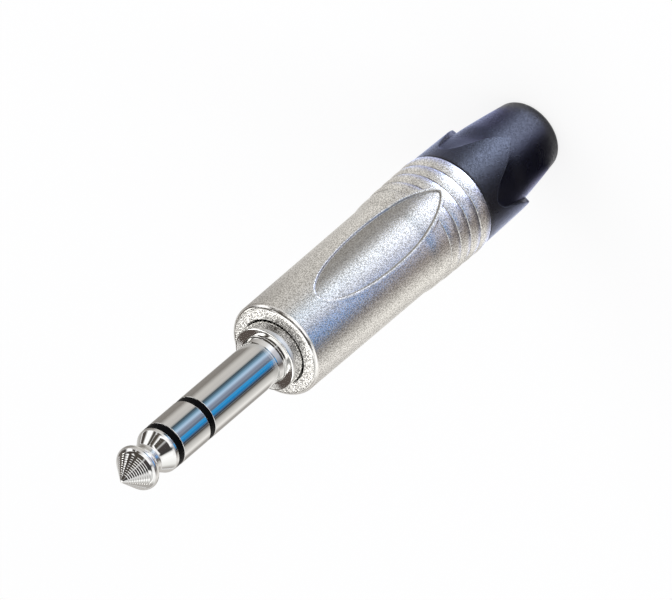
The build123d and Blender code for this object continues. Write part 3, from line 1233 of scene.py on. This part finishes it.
    def _belt_row(self, height: float) -> list[Marked]:
        """Shape one row of a quarter of the belt.

        Args:
            height: Height of the row in millimetres.

        Returns:
            The place and the painted shade of each point, from the oval's middle to the side of the shell.
        """
        plain, banded = self.plain_radius(height), self.banded_radius(height)
        middle = self._growth_at_middle(height)
        least = self.rings[0][0]
        floor = self._half_width(least, height)
        spots = [(share * floor, max(least, middle)) for share in self.floor_shares]
        spots += [(self._half_width(ring[0], height), max(ring[0], middle)) for ring in self.rings]
        # Painted shade: darker along the lines between bands and at the foot of the oval's wall; -1 marks the
        # oval's floor
        line_painted_shade = self.line_painted_shade * self._nearness(height)
        row = []
        for across, grow in spots:
            _, rise, share, shade = self._ring_at(grow)
            radius = plain + share * (banded - plain) + rise
            shade = -1.0 if grow < self.floor_reach else max(shade, share * line_painted_shade)
            row.append((math.asin(across / plain), radius, shade))
        side = math.pi / 2
        columns = SPIN_STEPS // 4
        lip = row[-1][0]
        for step in range(1, columns + 1):
            row.append((lip + (side - lip) * step / columns, banded, line_painted_shade))
        return [
            (Vector((radius * math.sin(angle), -radius * math.cos(angle), height)), shade)
            for angle, radius, shade in row
        ]

    def build(self) -> None:
        """Press the belt's two halves to shape, turn the rest, join and dress them."""
        rows = [self._belt_row(height) for height in self._stations()]
        # The sheet's marks carry the painted shade
        front = pressed(rows, "painted_shade", (True, False, False))
        back = copied(front, 180.0)
        shell = joined("shell_casting", [self._turned_rest(), front, back])
        fit_out(shell, self.finishes, Body.SHELL, Slot.SATIN, "shell", PRESSED_SHARP_DEG)


@dataclass
class Boot:
    """The boot: four petals round a core, the cable outlet and the threaded spigot.

    The scoops between the petals follow scoop_curve, as shares of their half width and height.
    """

    levels: Levels
    finishes: Finishes
    top_radius: float = 7.08
    top_rounding: float = 0.2
    petal_radius: float = 6.87
    petal_length: float = 10.15
    petal_phase_deg: float = -95.0
    cone_run: float = 1.0
    scoop_top: float = 2.1
    scoop_curve: tuple[Point, ...] = (
        (0.0, 0.0), (0.29, 0.125), (0.47, 0.335), (0.62, 0.56), (0.75, 0.725), (0.885, 0.865), (1.0, 1.0),
    )
    scoop_end_slope: Point = (0.5, -0.866)
    scoop_flat: float = 0.4
    flat_run: float = 3.5
    core_top_radius: float = 6.8
    core_mid_radius: float = 6.05
    core_mid_height: float = 8.5
    core_end_radius: float = 5.05
    rim_rounding: float = 1.0
    outlet_radius: float = 3.6
    outlet_length: float = 3.5
    grip_cone_length: float = 10.5
    spigot_bore: float = 4.6
    spigot_radius: float = 5.4
    register_radius: float = 5.95
    register_length: float = 1.0
    edge_rounding: float = 0.13
    foot_rounding: float = 0.04
    tip_rounding: float = 0.3
    full_mark_height: float = 0.25
    # Painted light: how much lighter the petals are painted than the scoops
    petal_painted_light: float = 0.04
    core_rows: int = 5
    core_row_pitch: float = 0.25
    scoop_rows: int = 56
    even_rows: float = 0.35
    row_crowding: float = 1.3
    collar_rows: int = 8
    wall_steps: int = 6
    marked_steps: int = 4
    core_steps: int = 14

    @property
    def petal_foot(self) -> float:
        """Height of the petals' tips."""
        return self.levels.shell_rear - self.petal_length

    @property
    def scoop_height(self) -> float:
        """Height of the round ends of the scoops."""
        return self.levels.shell_rear - self.scoop_top

    def cone_radius(self, height: float) -> float:
        """Radius of the petals' outer surface.

        Args:
            height: Height in millimetres.

        Returns:
            The radius there.
        """
        foot = self.petal_foot - self.cone_run
        share = (height - foot) / (self.levels.boot_top - foot)
        return self.petal_radius + share * (self.top_radius - self.petal_radius)

    def core_radius(self, height: float) -> float:
        """Radius of the core, an arc through its top, middle and end.

        Args:
            height: Height in millimetres.

        Returns:
            The radius there.
        """
        marks = (
            (self.rim_rounding, self.core_end_radius),
            (self.core_mid_height, self.core_mid_radius),
            (self.scoop_height, self.core_top_radius),
        )
        (a_h, a_r), (b_h, b_r), (c_h, c_r) = marks
        a_s, b_s, c_s = (h * h + r * r for h, r in marks)
        twice = 2 * (a_h * (b_r - c_r) + b_h * (c_r - a_r) + c_h * (a_r - b_r))
        centre_h = (a_s * (b_r - c_r) + b_s * (c_r - a_r) + c_s * (a_r - b_r)) / twice
        centre_r = (a_s * (c_h - b_h) + b_s * (a_h - c_h) + c_s * (b_h - a_h)) / twice
        reach = math.hypot(a_h - centre_h, a_r - centre_r)
        return centre_r + math.sqrt(reach**2 - (height - centre_h) ** 2)

    def _scoop_edge(self, share: float) -> tuple[Point, Point]:
        """Find a point of a scoop's edge.

        Args:
            share: Share of the way down the edge, from 0 to 1.

        Returns:
            The point as (across, height), and its normal towards the petal.
        """
        reach = self.petal_radius * math.sin(math.pi / 4)
        fall = self.scoop_height - self.petal_foot
        marks = [Vector((reach * across, -fall * down)) for across, down in self.scoop_curve]
        runs = [(after - before).length for before, after in zip(marks, marks[1:])]
        knots = [sum(runs[:index]) for index in range(len(marks))]
        slopes = [Vector((1.0, 0.0))]
        for index in range(1, len(marks) - 1):
            before = (marks[index] - marks[index - 1]) / runs[index - 1]
            after = (marks[index + 1] - marks[index]) / runs[index]
            weight = runs[index] / (runs[index - 1] + runs[index])
            slopes.append(before * weight + after * (1 - weight))
        slopes.append(Vector(self.scoop_end_slope))
        place = share * knots[-1]
        index = min(len(runs) - 1, max(i for i, knot in enumerate(knots) if knot <= place + 1e-9))
        span = runs[index]
        t = (place - knots[index]) / span
        point = hermite(t, span, marks[index], slopes[index], marks[index + 1], slopes[index + 1])
        along = (
            6 * t * (t - 1) / span * (marks[index] - marks[index + 1])
            + (3 * t**2 - 4 * t + 1) * slopes[index]
            + (3 * t**2 - 2 * t) * slopes[index + 1]
        ).normalized()
        return (max(0.0, point.x), self.scoop_height + point.y), (-along.y, along.x)

    def _row(self, row: int) -> tuple[float, float]:
        """Place a row of the grid.

        Args:
            row: The row, from the bottom up.

        Returns:
            Its share along the scoop's edge, and its height below the edge's end or above its top.
        """
        if row < self.core_rows:
            return 1.0, -self.core_row_pitch * (self.core_rows - row)
        if row <= self.core_rows + self.scoop_rows:
            up = (row - self.core_rows) / self.scoop_rows
            crowded = (1 - self.even_rows) * math.sin(up * math.pi / 2) ** self.row_crowding
            return 1.0 - (self.even_rows * up + crowded), 0.0
        above = (row - self.core_rows - self.scoop_rows) / self.collar_rows
        top = self.levels.boot_top - self.top_rounding
        return 0.0, above * (top - self.scoop_height - self.edge_rounding)

    def _wall(self, share: float, core: float, cone: float, swell: float) -> list[tuple[float, ...]]:
        """Shape the wall between a scoop and a petal in one row, with a soft foot and crest.

        Args:
            share: Share along the scoop's edge.
            core: Radius of the core.
            cone: Radius of the petals' outer surface.
            swell: How far the petal has risen from the core, from 0 to 1.

        Returns:
            (angle, height, radius, mark) of each point, from the foot to the crest.
        """
        (across, height), (normal_x, normal_z) = self._scoop_edge(share)
        crest = core + swell * (cone - core)
        edge = min(self.edge_rounding, 0.5 * (crest - core))
        foot = min(self.foot_rounding, 0.5 * (crest - core))
        # Marks below 0 make the foot rougher; marks above 0 paint a highlight along the crest, and the
        # petal's own mark paints it slightly lighter
        strength = min(1.0, (crest - core) / self.full_mark_height)
        marks = [0.0] + [-strength] * self.marked_steps
        marks += [0.0] * (2 * (self.wall_steps - self.marked_steps) - 1)
        marks += [strength] * self.marked_steps + [self.petal_painted_light]
        spots = []
        for step, mark in enumerate(marks):
            if step <= self.wall_steps:
                t = step / self.wall_steps
                back = foot * (1 - t) ** 2
                radius = core + foot * t**2
            else:
                t = (step - self.wall_steps) / self.wall_steps
                back = -edge * t**2
                radius = crest - edge * (1 - t) ** 2
            z = height - back * normal_z
            if step == 2 * self.wall_steps:
                radius = core + swell * (self.cone_radius(z) - core)
            angle = min(math.pi / 4, math.asin(max(0.0, across - back * normal_x) / cone))
            spots.append((angle, z, radius, mark))
        return spots

    def _section(self, row: int) -> list[Marked]:
        """Shape one row, from the middle of a scoop to the middle of a petal.

        Args:
            row: The row, from the bottom up.

        Returns:
            The place of each point and the mark of its edge.
        """
        half = math.pi / 4
        columns = SPIN_STEPS // 8
        share, away = self._row(row)
        height = self._scoop_edge(share)[0][1] + away
        petal_share = min(1.0, max(0.0, (height - self.petal_foot) / self.tip_rounding))
        swell = math.sqrt(1 - (1 - petal_share) ** 2)
        core = self.core_radius(min(height, self.scoop_height))
        cone = self.cone_radius(height)
        wall_points = 2 * self.wall_steps + 1
        if away < 0:
            wall = [(half, height, core, 0.0)] * wall_points
        elif away > 0:
            level = height + min(self.edge_rounding, 0.5 * swell * (cone - core))
            wall = [(0.0, level, self.cone_radius(level), self.petal_painted_light)] * wall_points
        else:
            wall = self._wall(share, core, cone, swell)
        foot_angle, foot_height, _, _ = wall[0]
        angle, level, radius, _ = wall[-1]
        scoop, petal = [wall[0]] * columns, [wall[-1]] * columns
        if away <= 0:
            sink = self.scoop_flat * smooth_step((foot_height - self.petal_foot) / self.flat_run)
            floor = self.core_radius(min(foot_height, self.scoop_height))
            shares = [column / columns for column in range(columns)]
            scoop = [(foot_angle * t, foot_height, floor - sink * (1 - t**2), 0.0) for t in shares]
        if away >= 0:
            shares = [column / columns for column in range(1, columns + 1)]
            petal = [(angle + (half - angle) * t, level, radius, self.petal_painted_light) for t in shares]
        return [
            (Vector((radius * math.cos(angle), radius * math.sin(angle), level)), mark)
            for angle, level, radius, mark in scoop + wall + petal
        ]

    def _turned_rest(self, low: Vector, high: Vector) -> bpy.types.Object:
        """Turn the boot's top edge, spigot, bore, rim and the lower part of its core.

        Args:
            low: A corner of the petals' sheet at its foot.
            high: A corner at its top.

        Returns:
            The turned sheet.
        """
        boot_top, register_top = self.levels.boot_top, self.levels.shell_rear + self.register_length
        spigot_top = self.levels.spigot_top
        core = []
        for step in range(self.core_steps + 1):
            height = self.rim_rounding + (low.z - self.rim_rounding) * step / self.core_steps
            core.append((self.core_radius(height), height))
        rim_arc = rounded(
            [
                (self.outlet_radius, self.outlet_length),
                (self.outlet_radius, 0, 0.25),
                (self.core_end_radius, 0, self.rim_rounding),
                (self.core_end_radius, self.rim_rounding + 0.01),
            ]
        )[:-1]
        upper = rounded(
            [
                (math.hypot(high.x, high.y), high.z),
                (self.top_radius, boot_top, self.top_rounding),
                (self.register_radius, boot_top),
                (self.register_radius, register_top),
                (self.spigot_radius, register_top),
                (self.spigot_radius, spigot_top, 0.2),
                (self.spigot_bore, spigot_top, 0.15),
                (self.spigot_bore, self.outlet_length + self.grip_cone_length),
                (self.outlet_radius, self.outlet_length),
            ]
        )[:-1]
        return turned("boot_rest", upper + rim_arc + core)

    def build(self) -> None:
        """Press one petal to shape, copy it round, join it to the turned rest and dress it."""
        rows = self.core_rows + self.scoop_rows + self.collar_rows
        sections = [self._section(row) for row in range(rows + 1)]
        petal = pressed(sections, "edge", (False, True, False))
        rest = self._turned_rest(sections[0][0][0], sections[-1][-1][0])
        parts = [rest, petal] + [copied(petal, 90.0 * quarter) for quarter in range(1, 4)]
        boot = joined("boot_moulding", parts)
        turn_about(boot, self.petal_phase_deg + 45.0)
        fit_out(boot, self.finishes, Body.BUSHING, Slot.BOOT, "bushing", PRESSED_SHARP_DEG)


@dataclass
class Thread:
    """The screw thread between the boot's spigot and the shell, as two helical ridges."""

    levels: Levels
    finishes: Finishes
    pitch: float = 1.0
    turns: int = 7
    first_turn: float = 1.35
    inner_radius: float = 5.4
    outer_radius: float = 6.0
    crest_gap: float = 0.06
    root_overlap: float = 0.02
    root_width: float = 0.56
    crest_width: float = 0.14
    keyway_width: float = 1.6
    steps: int = 96

    def _ridge(self, name: str, root: float, crest: float, start: float, turns: int) -> bpy.types.Object:
        """Sweep a ridge up the screw from a four-sided profile.

        Args:
            name: Name of the ridge.
            root: Radius of its root.
            crest: Radius of its crest.
            start: Height of its lower end's middle.
            turns: Number of turns.

        Returns:
            The ridge, closed at both ends.
        """
        foot = root - math.copysign(self.root_overlap, crest - root)
        profile = (
            (foot, -self.root_width / 2), (crest, -self.crest_width / 2),
            (foot, self.root_width / 2), (crest, self.crest_width / 2),
        )
        deselect_all()
        bpy.ops.mesh.primitive_plane_add(size=1.0)
        piece = bpy.context.object
        piece.name = piece.data.name = name
        for vertex, (radius, offset) in zip(piece.data.vertices, profile):
            vertex.co = Vector((radius, 0.0, start + offset)) * MM
        bpy.ops.object.mode_set(mode="EDIT")
        bpy.ops.mesh.select_all(action="SELECT")
        bpy.ops.mesh.delete(type="ONLY_FACE")
        bpy.ops.object.mode_set(mode="OBJECT")
        modified(
            piece, "SCREW",
            angle=FULL_TURN, screw_offset=self.pitch * MM, iterations=turns,
            steps=self.steps, render_steps=self.steps, axis="Z", use_smooth_shade=False,
        )
        pick(piece)
        bpy.ops.object.mode_set(mode="EDIT")
        bpy.ops.mesh.select_all(action="DESELECT")
        bpy.ops.mesh.select_non_manifold()
        bpy.ops.mesh.edge_face_add()
        bpy.ops.mesh.select_all(action="SELECT")
        bpy.ops.mesh.normals_make_consistent(inside=False)
        bpy.ops.object.mode_set(mode="OBJECT")
        return piece

    def _cut_keyways(self, ridge: bpy.types.Object) -> None:
        """Cut a ridge through on both sides, so that the chuck's keys pass it.

        Args:
            ridge: The ridge.
        """
        deselect_all()
        length = 2 * self.turns * self.pitch * MM
        middle = self.levels.shell_rear * MM + length / 3
        bpy.ops.mesh.primitive_cube_add(size=1.0)
        cutter = bpy.context.object
        size = (3 * self.outer_radius * MM, self.keyway_width * MM, length)
        bpy.ops.transform.resize(value=size, center_override=(0, 0, 0))
        bpy.ops.transform.translate(value=(0, 0, middle))
        modified(ridge, "BOOLEAN", object=cutter, operation="DIFFERENCE", solver="EXACT")
        bpy.data.objects.remove(cutter)

    def build(self) -> None:
        """Cut both ridges and dress them."""
        start = self.levels.shell_rear + self.first_turn
        crests = self.outer_radius - self.crest_gap, self.inner_radius + self.crest_gap
        outer = self._ridge("spigot_thread", self.inner_radius, crests[0], start, self.turns)
        fit_out(outer, self.finishes, Body.BUSHING, Slot.BOOT)
        start += self.pitch / 2
        inner = self._ridge("shell_thread", self.outer_radius, crests[1], start, self.turns - 1)
        self._cut_keyways(inner)
        fit_out(inner, self.finishes, Body.SHELL, Slot.SATIN)


@dataclass
class Insides:
    """The frame's own pieces inside the shell, which keep their shape and get a finish."""

    finishes: Finishes
    slots: tuple[tuple[str, Slot], ...] = (
        ("ground_terminal", Slot.TINNED),
        ("ring_terminal", Slot.TINNED),
        ("tip_terminal", Slot.TINNED),
        ("terminal_carrier", Slot.INSULATOR),
        ("rear_washer", Slot.INSULATOR),
        ("chuck", Slot.CHUCK),
    )

    def dress(self) -> None:
        """Give each node the finish of its slot."""
        for name, slot in self.slots:
            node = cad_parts[name]
            node.data.materials.clear()
            node.data.materials.append(self.finishes.by_slot[slot])
            LOG.info("%s: finish %s", name, slot.value)


# The studio


@dataclass
class PhotoCamera:
    """A camera that sees the plug from the photograph's viewing angle."""

    azimuth_deg: float = -105.0
    elevation_deg: float = 39.88
    roll_deg: float = 130.5
    distance: float = 1.5
    sensor: float = 36.0
    lens: float = 642.66
    clip: Point = (0.05, 20.0)
    apex_across: float = -26.86
    apex_up: float = -22.74

    def place(self, apex_mm: float) -> None:
        """Add the camera.

        Args:
            apex_mm: Height of the plug's apex, in millimetres.
        """
        azimuth, elevation = math.radians(self.azimuth_deg), math.radians(self.elevation_deg)
        level = math.cos(elevation)
        back = Vector((level * math.cos(azimuth), level * math.sin(azimuth), math.sin(elevation)))
        right = Vector((0, 0, 1)).cross(back).normalized()
        up = back.cross(right)
        roll = Matrix.Rotation(math.radians(-self.roll_deg), 3, "Z")
        axes = Matrix((right, up, back)).transposed() @ roll
        apex_seen = Vector((self.apex_across * MM, self.apex_up * MM, -self.distance))
        data = bpy.data.cameras.new("photo_camera")
        data.sensor_width = self.sensor
        data.lens = self.lens
        data.clip_start, data.clip_end = self.clip
        camera = bpy.data.objects.new("photo_camera", data)
        bpy.context.collection.objects.link(camera)
        place = Vector((0, 0, apex_mm * MM)) - axes @ apex_seen
        camera.matrix_world = Matrix.Translation(place) @ axes.to_4x4()
        bpy.context.scene.camera = camera


class Bearing(Enum):
    """How a reflector's stops are counted round the plug: from minus to plus this angle."""

    SURFACE = 90.0
    SKY = 180.0


@dataclass(frozen=True)
class Reflector:
    """A reflector round the plug that shows only in its gloss.

    A card lies on the floor and reaches out to a radius in metres. Its stops are counted by the
    angle of the wall that shows them, from the side that faces the camera. A belt of the dome
    reaches up to an elevation in degrees. Its stops are counted by their own direction. A stop is
    its angle and its tone, one number for a grey or three for a colour.
    """

    name: str
    reach: float
    stops: Stops
    streaks: float = 0.0


@dataclass
class Studio:
    """A pale floor, a white surround, two soft lamps and reflectors round the plug."""

    camera_azimuth_deg: float = -105.0
    floor_size: float = 6.0
    floor_glow: float = 0.8
    card_height: float = 0.0001
    cards_from: float = 0.0062
    dome_from_deg: float = 3.0
    dome_radius: float = 0.5
    dome_steps: int = 4
    waver_scale: float = 60.0
    line_scale: float = 110.0
    line_level: float = 0.55
    line_strength: float = 90.0
    line_tone: Colour = (0.9, 0.9, 0.9)
    lamp_aim: Corner = (0, 0, 0.045)

    # From the boot outwards
    cards: tuple[Reflector, ...] = (
        Reflector("core_card", 0.014, (
            (-90, 1.4, 1.5, 1.9), (-66, 0.9, 1.0, 1.4), (-50, 0.7, 0.75, 1.2), (-36, 0.35, 0.35, 0.6),
            (-26, 0.6, 0.65, 1.0), (-15, 2.2, 2.5, 3.6), (-3, 2.4, 2.7, 3.9), (4, 1.1, 1.2, 1.9),
            (9, 0.3, 0.3, 0.5), (14, 0.03, 0.03, 0.05), (44, 0.02, 0.02, 0.04), (54, 0.6, 0.6, 0.9),
            (66, 1.4, 1.5, 2.0), (90, 1.5, 1.6, 2.1),
        )),
        Reflector("boot_card", 0.026, (
            (-90, 1.9, 2.1, 2.7), (-66, 0.8, 0.9, 1.3), (-50, 0.5, 0.55, 0.85), (-34, 0.5, 0.55, 0.9),
            (-23, 1.1, 1.3, 1.9), (-14, 4.9, 5.8, 8.5), (-6, 4.9, 5.8, 8.5), (2, 1.6, 1.8, 2.7),
            (9, 0.4, 0.45, 0.7), (16, 0.04, 0.04, 0.06), (44, 0.03, 0.03, 0.05), (55, 0.6, 0.65, 0.95),
            (70, 1.3, 1.4, 1.8), (90, 1.4, 1.5, 1.9),
        )),
        Reflector("shell_card", 0.06, (
            (-90, 0.85, 0.83, 0.8), (-62, 0.65, 0.63, 0.6), (-50, 0.9, 0.88, 0.84), (-38, 0.55, 0.53, 0.5),
            (-25, 0.7, 0.69, 0.67), (-15, 1.1, 1.13, 1.18), (-5, 1.25, 1.32, 1.44), (3, 0.88, 0.9, 0.98),
            (10, 0.62, 0.66, 0.82), (20, 0.62, 0.58, 0.6), (27, 0.25, 0.21, 0.19), (32, 0.3, 0.26, 0.24),
            (41, 0.6, 0.57, 0.54), (55, 1.12, 1.1, 1.05), (68, 0.6, 0.58, 0.55), (80, 1.0, 0.98, 0.95),
        ), 0.01),
        Reflector("front_card", 0.072, (
            (-90, 0.6, 0.58, 0.56), (-50, 0.62, 0.6, 0.57), (-36, 0.6, 0.58, 0.55), (-22, 0.85),
            (-12, 1.5, 1.6, 1.75), (-4, 1.3, 1.35, 1.55), (4, 0.75, 0.8, 1.0), (11, 0.22, 0.45, 1.1),
            (18, 0.12, 0.34, 1.15), (23, 0.3, 0.32, 0.42), (28, 0.22, 0.18, 0.17), (40, 0.6, 0.58, 0.55),
            (55, 1.15, 1.12, 1.08), (70, 0.58, 0.56, 0.53), (82, 1.0, 0.98, 0.95),
        ), 0.01),
        Reflector("root_card", 0.0758, (
            (-90, 0.5, 0.49, 0.47), (-40, 0.55, 0.54, 0.52), (-22, 0.6, 0.62, 0.65), (-5, 0.9, 0.95, 1.05),
            (10, 0.75, 0.8, 0.88), (26, 0.5, 0.5, 0.53), (40, 0.5, 0.49, 0.47), (60, 0.9, 0.88, 0.86),
            (90, 0.8, 0.78, 0.76),
        )),
        Reflector("finger_card", 0.125, (
            (-90, 0.5, 0.49, 0.47), (-72, 0.27, 0.25, 0.23), (-50, 0.27, 0.25, 0.23), (-39, 0.66, 0.64, 0.61),
            (-24, 0.6, 0.58, 0.56), (-19, 0.05, 0.08, 0.1), (-16, 0.05, 0.09, 0.13), (-11, 0.2, 0.36, 0.5),
            (-5, 0.46, 0.66, 0.9), (1, 0.28, 0.32, 0.42), (9, 0.13, 0.18, 0.26), (13, 0.03, 0.36, 0.78),
            (21, 0.01, 0.22, 0.54), (25, 0.02, 0.05, 0.1), (31, 0.1, 0.09, 0.08), (37, 0.5, 0.49, 0.47),
            (55, 1.0, 0.98, 0.95), (68, 0.32, 0.3, 0.28), (77, 0.4, 0.38, 0.36), (90, 0.8, 0.78, 0.76),
        ), 0.02),
        Reflector("far_card", 0.5, (
            (-90, 0.8, 0.79, 0.77), (-60, 0.3, 0.28, 0.26), (-40, 0.6, 0.58, 0.56), (-20, 0.8, 0.79, 0.78),
            (-9, 1.3, 1.35, 1.45), (0, 0.7, 0.7, 0.75), (12, 0.55, 0.58, 0.66), (22, 0.33, 0.34, 0.38),
            (30, 0.15, 0.13, 0.12), (45, 0.9, 0.88, 0.86), (60, 0.7, 0.68, 0.65), (90, 0.5, 0.48, 0.46),
        )),
    )

    # From the floor up
    dome: tuple[Reflector, ...] = (
        Reflector("low_dome", 28.0, (
            (-180, 0.6, 0.59, 0.57), (-150, 0.2, 0.18, 0.16), (-112, 0.06, 0.05, 0.045), (-100, 1.4),
            (-84, 1.4), (-76, 0.08, 0.07, 0.06), (-68, 0.08, 0.07, 0.06), (-63, 0.9),
            (-57, 0.1, 0.085, 0.07), (-46, 0.15, 0.13, 0.12), (-36, 0.8, 0.79, 0.77), (-22, 1.2),
            (18, 1.1, 1.1, 1.15), (27, 0.6), (33, 0.2), (40, 0.9), (70, 1.2), (104, 1.0, 1.0, 0.98),
            (122, 0.45, 0.43, 0.41), (180, 0.6, 0.59, 0.57),
        )),
        Reflector("middle_dome", 33.0, (
            (-180, 0.11, 0.09, 0.08), (-160, 0.06, 0.05, 0.045), (-150, 2.2, 2.2, 2.1),
            (-126, 3.4, 3.4, 3.3), (-116, 0.06, 0.05, 0.045), (-97, 1.4), (-80, 1.4),
            (-70, 0.08, 0.07, 0.06), (-50, 0.1, 0.085, 0.07), (-40, 1.4), (20, 1.3), (29, 0.1),
            (37, 0.08), (46, 1.1), (64, 1.3), (110, 1.2), (150, 2.2, 2.2, 2.1), (162, 0.13, 0.11, 0.1),
            (180, 0.11, 0.09, 0.08),
        )),
        Reflector("high_dome", 46.0, (
            (-180, 0.11, 0.09, 0.08), (-164, 0.07, 0.06, 0.055), (-146, 0.05, 0.045, 0.04),
            (-116, 0.06, 0.05, 0.045), (-17, 0.09, 0.08, 0.07), (-10, 0.6), (-2, 0.07, 0.06, 0.06),
            (52, 0.05), (66, 0.8), (92, 0.8, 0.8, 0.79), (130, 0.4, 0.39, 0.38), (150, 0.3, 0.29, 0.28),
            (160, 0.13, 0.11, 0.1), (180, 0.11, 0.09, 0.08),
        )),
        Reflector("upper_dome", 64.0, (
            (-180, 2.6, 2.6, 2.55), (-126, 2.6, 2.6, 2.55), (-112, 0.07, 0.06, 0.05), (-90, 0.07, 0.06, 0.05),
            (-84, 1.2), (-76, 1.2), (-70, 0.08, 0.07, 0.06), (-17, 0.09, 0.08, 0.07), (-10, 0.6),
            (-2, 0.07, 0.06, 0.06), (52, 0.05), (62, 1.2), (78, 1.1), (92, 0.3, 0.3, 0.29), (120, 0.5),
            (134, 2.6, 2.6, 2.55), (180, 2.6, 2.6, 2.55),
        )),
        Reflector("top_dome", 86.0, ((-180, 2.4, 2.4, 2.35), (0, 1.1), (180, 2.4, 2.4, 2.35))),
    )

    def _dome_outline(self, low_deg: float, high_deg: float) -> list[Point]:
        """Outline of a belt of the dome.

        Args:
            low_deg: Elevation of its lower edge.
            high_deg: Elevation of its upper edge.

        Returns:
            (radius, height) of its points, in metres.
        """
        radius, steps = self.dome_radius, self.dome_steps
        rise = high_deg - low_deg
        angles = [math.radians(low_deg + rise * step / steps) for step in range(steps + 1)]
        return [(radius * math.cos(angle), radius * math.sin(angle)) for angle in angles]

    def _reflector_material(self, reflector: Reflector, reach: float) -> bpy.types.Material:
        """Make a glow whose tone follows the stops round the plug.

        Args:
            reflector: The reflector.
            reach: The angle that its stops are counted up to, from minus that angle.

        Returns:
            The material.
        """
        material, graph = new_material(reflector.name)
        turn = (0.0, 0.0, math.radians(self.camera_azimuth_deg))
        sockets = {"Vector": graph.place(), "Scale": (1.0, -1.0, 1.0), "Rotation": turn}
        where = graph.node("ShaderNodeMapping", {}, sockets)
        settings = {"gradient_type": "RADIAL"}
        bearing = graph.node("ShaderNodeTexGradient", settings, {"Vector": where}, "Fac")
        if reflector.streaks:
            bearing = bearing + (graph.streaks(bearing, self.waver_scale) - 0.5) * reflector.streaks
        stops = [
            ((angle + reach) / (2 * reach), tone * 3 if len(tone) == 1 else tone)
            for angle, *tone in reflector.stops
        ]
        tone = graph.node("ShaderNodeValToRGB", {"stops": stops}, {"Fac": bearing}, "Color")
        if reflector.streaks:
            lines = graph.streaks(bearing, self.line_scale)
            share = (lines - self.line_level) * (self.line_strength * reflector.streaks)
            tone = graph.blend(share, tone, self.line_tone)
        graph.surface(graph.glow(tone))
        return material

    def _place_reflector(self, reflector: Reflector, bearing: Bearing, outline: Sequence[Point]) -> None:
        """Spin one reflector and hide it from all but the plug's gloss.

        Args:
            reflector: The reflector.
            bearing: How its stops are counted.
            outline: (radius, height) of its points, in metres.
        """
        piece = turned(reflector.name, [(radius / MM, height / MM) for radius, height in outline])
        piece.data.materials.append(self._reflector_material(reflector, bearing.value))
        piece.visible_camera = False
        piece.visible_diffuse = False
        piece.visible_shadow = False
        piece.visible_transmission = False

    def _floor(self) -> None:
        """A large pale floor that shows white and keeps the plug's shadow."""
        deselect_all()
        bpy.ops.mesh.primitive_plane_add(size=self.floor_size)
        floor = bpy.context.object
        floor.name = "floor"
        floor.data.materials.append(self._floor_material())

    def _floor_material(self) -> bpy.types.Material:
        """Make white paint that glows for the camera, so that it shows white and its shadow faint.

        Returns:
            The material.
        """
        material, graph = new_material("floor_white")
        tone = (0.9, 0.9, 0.9)
        paint = graph.principled({"Base Color": tone, "Roughness": 0.9, "Specular IOR Level": 0.0})
        glow = graph.glow((1.0, 1.0, 1.0))
        seen = graph.node("ShaderNodeLightPath", {}, {}, "Is Camera Ray")
        share = seen * self.floor_glow
        graph.surface(graph.node("ShaderNodeMixShader", {}, {0: share, 1: paint, 2: glow}))
        return material

    @staticmethod
    def _world() -> None:
        """White for the camera and for reflections, dimmer for the light on the plug."""
        world = bpy.data.worlds.new("studio")
        bpy.context.scene.world = world
        world.use_nodes = True
        graph = Graph(world.node_tree)
        camera, glossy, clear = (
            graph.node("ShaderNodeLightPath", {}, {}, ray)
            for ray in ("Is Camera Ray", "Is Glossy Ray", "Is Transmission Ray")
        )
        share = graph.math("MINIMUM", camera + glossy + clear, 1.0)
        colour = graph.blend(share, (0.8, 0.8, 0.82), (1.0, 1.0, 1.0))
        shader = graph.node("ShaderNodeBackground", {}, {"Color": colour, "Strength": 1.0})
        graph.surface(shader, "ShaderNodeOutputWorld")

    def _lamp(self, name: str, place: Corner, size: float, watts: float) -> None:
        """Hang a soft square lamp that points at the middle of the plug.

        Args:
            name: Name of the lamp.
            place: Where it hangs, in metres.
            size: Length of its sides.
            watts: Its power.
        """
        data = bpy.data.lights.new(name, "AREA")
        data.size = size
        data.energy = watts
        lamp = bpy.data.objects.new(name, data)
        bpy.context.collection.objects.link(lamp)
        lamp.location = place
        aim = Vector(self.lamp_aim) - Vector(place)
        lamp.rotation_euler = aim.to_track_quat("-Z", "Y").to_euler()
        lamp.visible_glossy = False

    def build(self) -> None:
        """Set the floor, reflectors, surround and lamps, and the plain view transform."""
        bpy.context.scene.view_settings.view_transform = "Standard"
        self._floor()
        inner, low_deg = self.cards_from, self.dome_from_deg
        for card in self.cards:
            outline = [(inner, self.card_height), (card.reach, self.card_height)]
            self._place_reflector(card, Bearing.SURFACE, outline)
            inner = card.reach
        for belt in self.dome:
            self._place_reflector(belt, Bearing.SKY, self._dome_outline(low_deg, belt.reach))
            low_deg = belt.reach
        self._world()
        self._lamp("key_lamp", (-0.5, -0.6, 0.9), 0.6, 4.0)
        self._lamp("fill_lamp", (0.7, -0.3, 0.6), 0.7, 2.0)


def main() -> None:
    """Build the plug's pieces in order, dress the inner nodes and set the studio."""
    logging.basicConfig(level=logging.INFO, format="%(name)s %(message)s")
    levels = Levels.from_frame()
    finishes = Finishes.make(levels)
    Finger(levels, finishes).build()
    Shell(levels, finishes).build()
    Boot(levels, finishes).build()
    Thread(levels, finishes).build()
    Insides(finishes).dress()
    Studio().build()
    PhotoCamera().place(levels.apex)


if __name__ == "__main__":
    main()
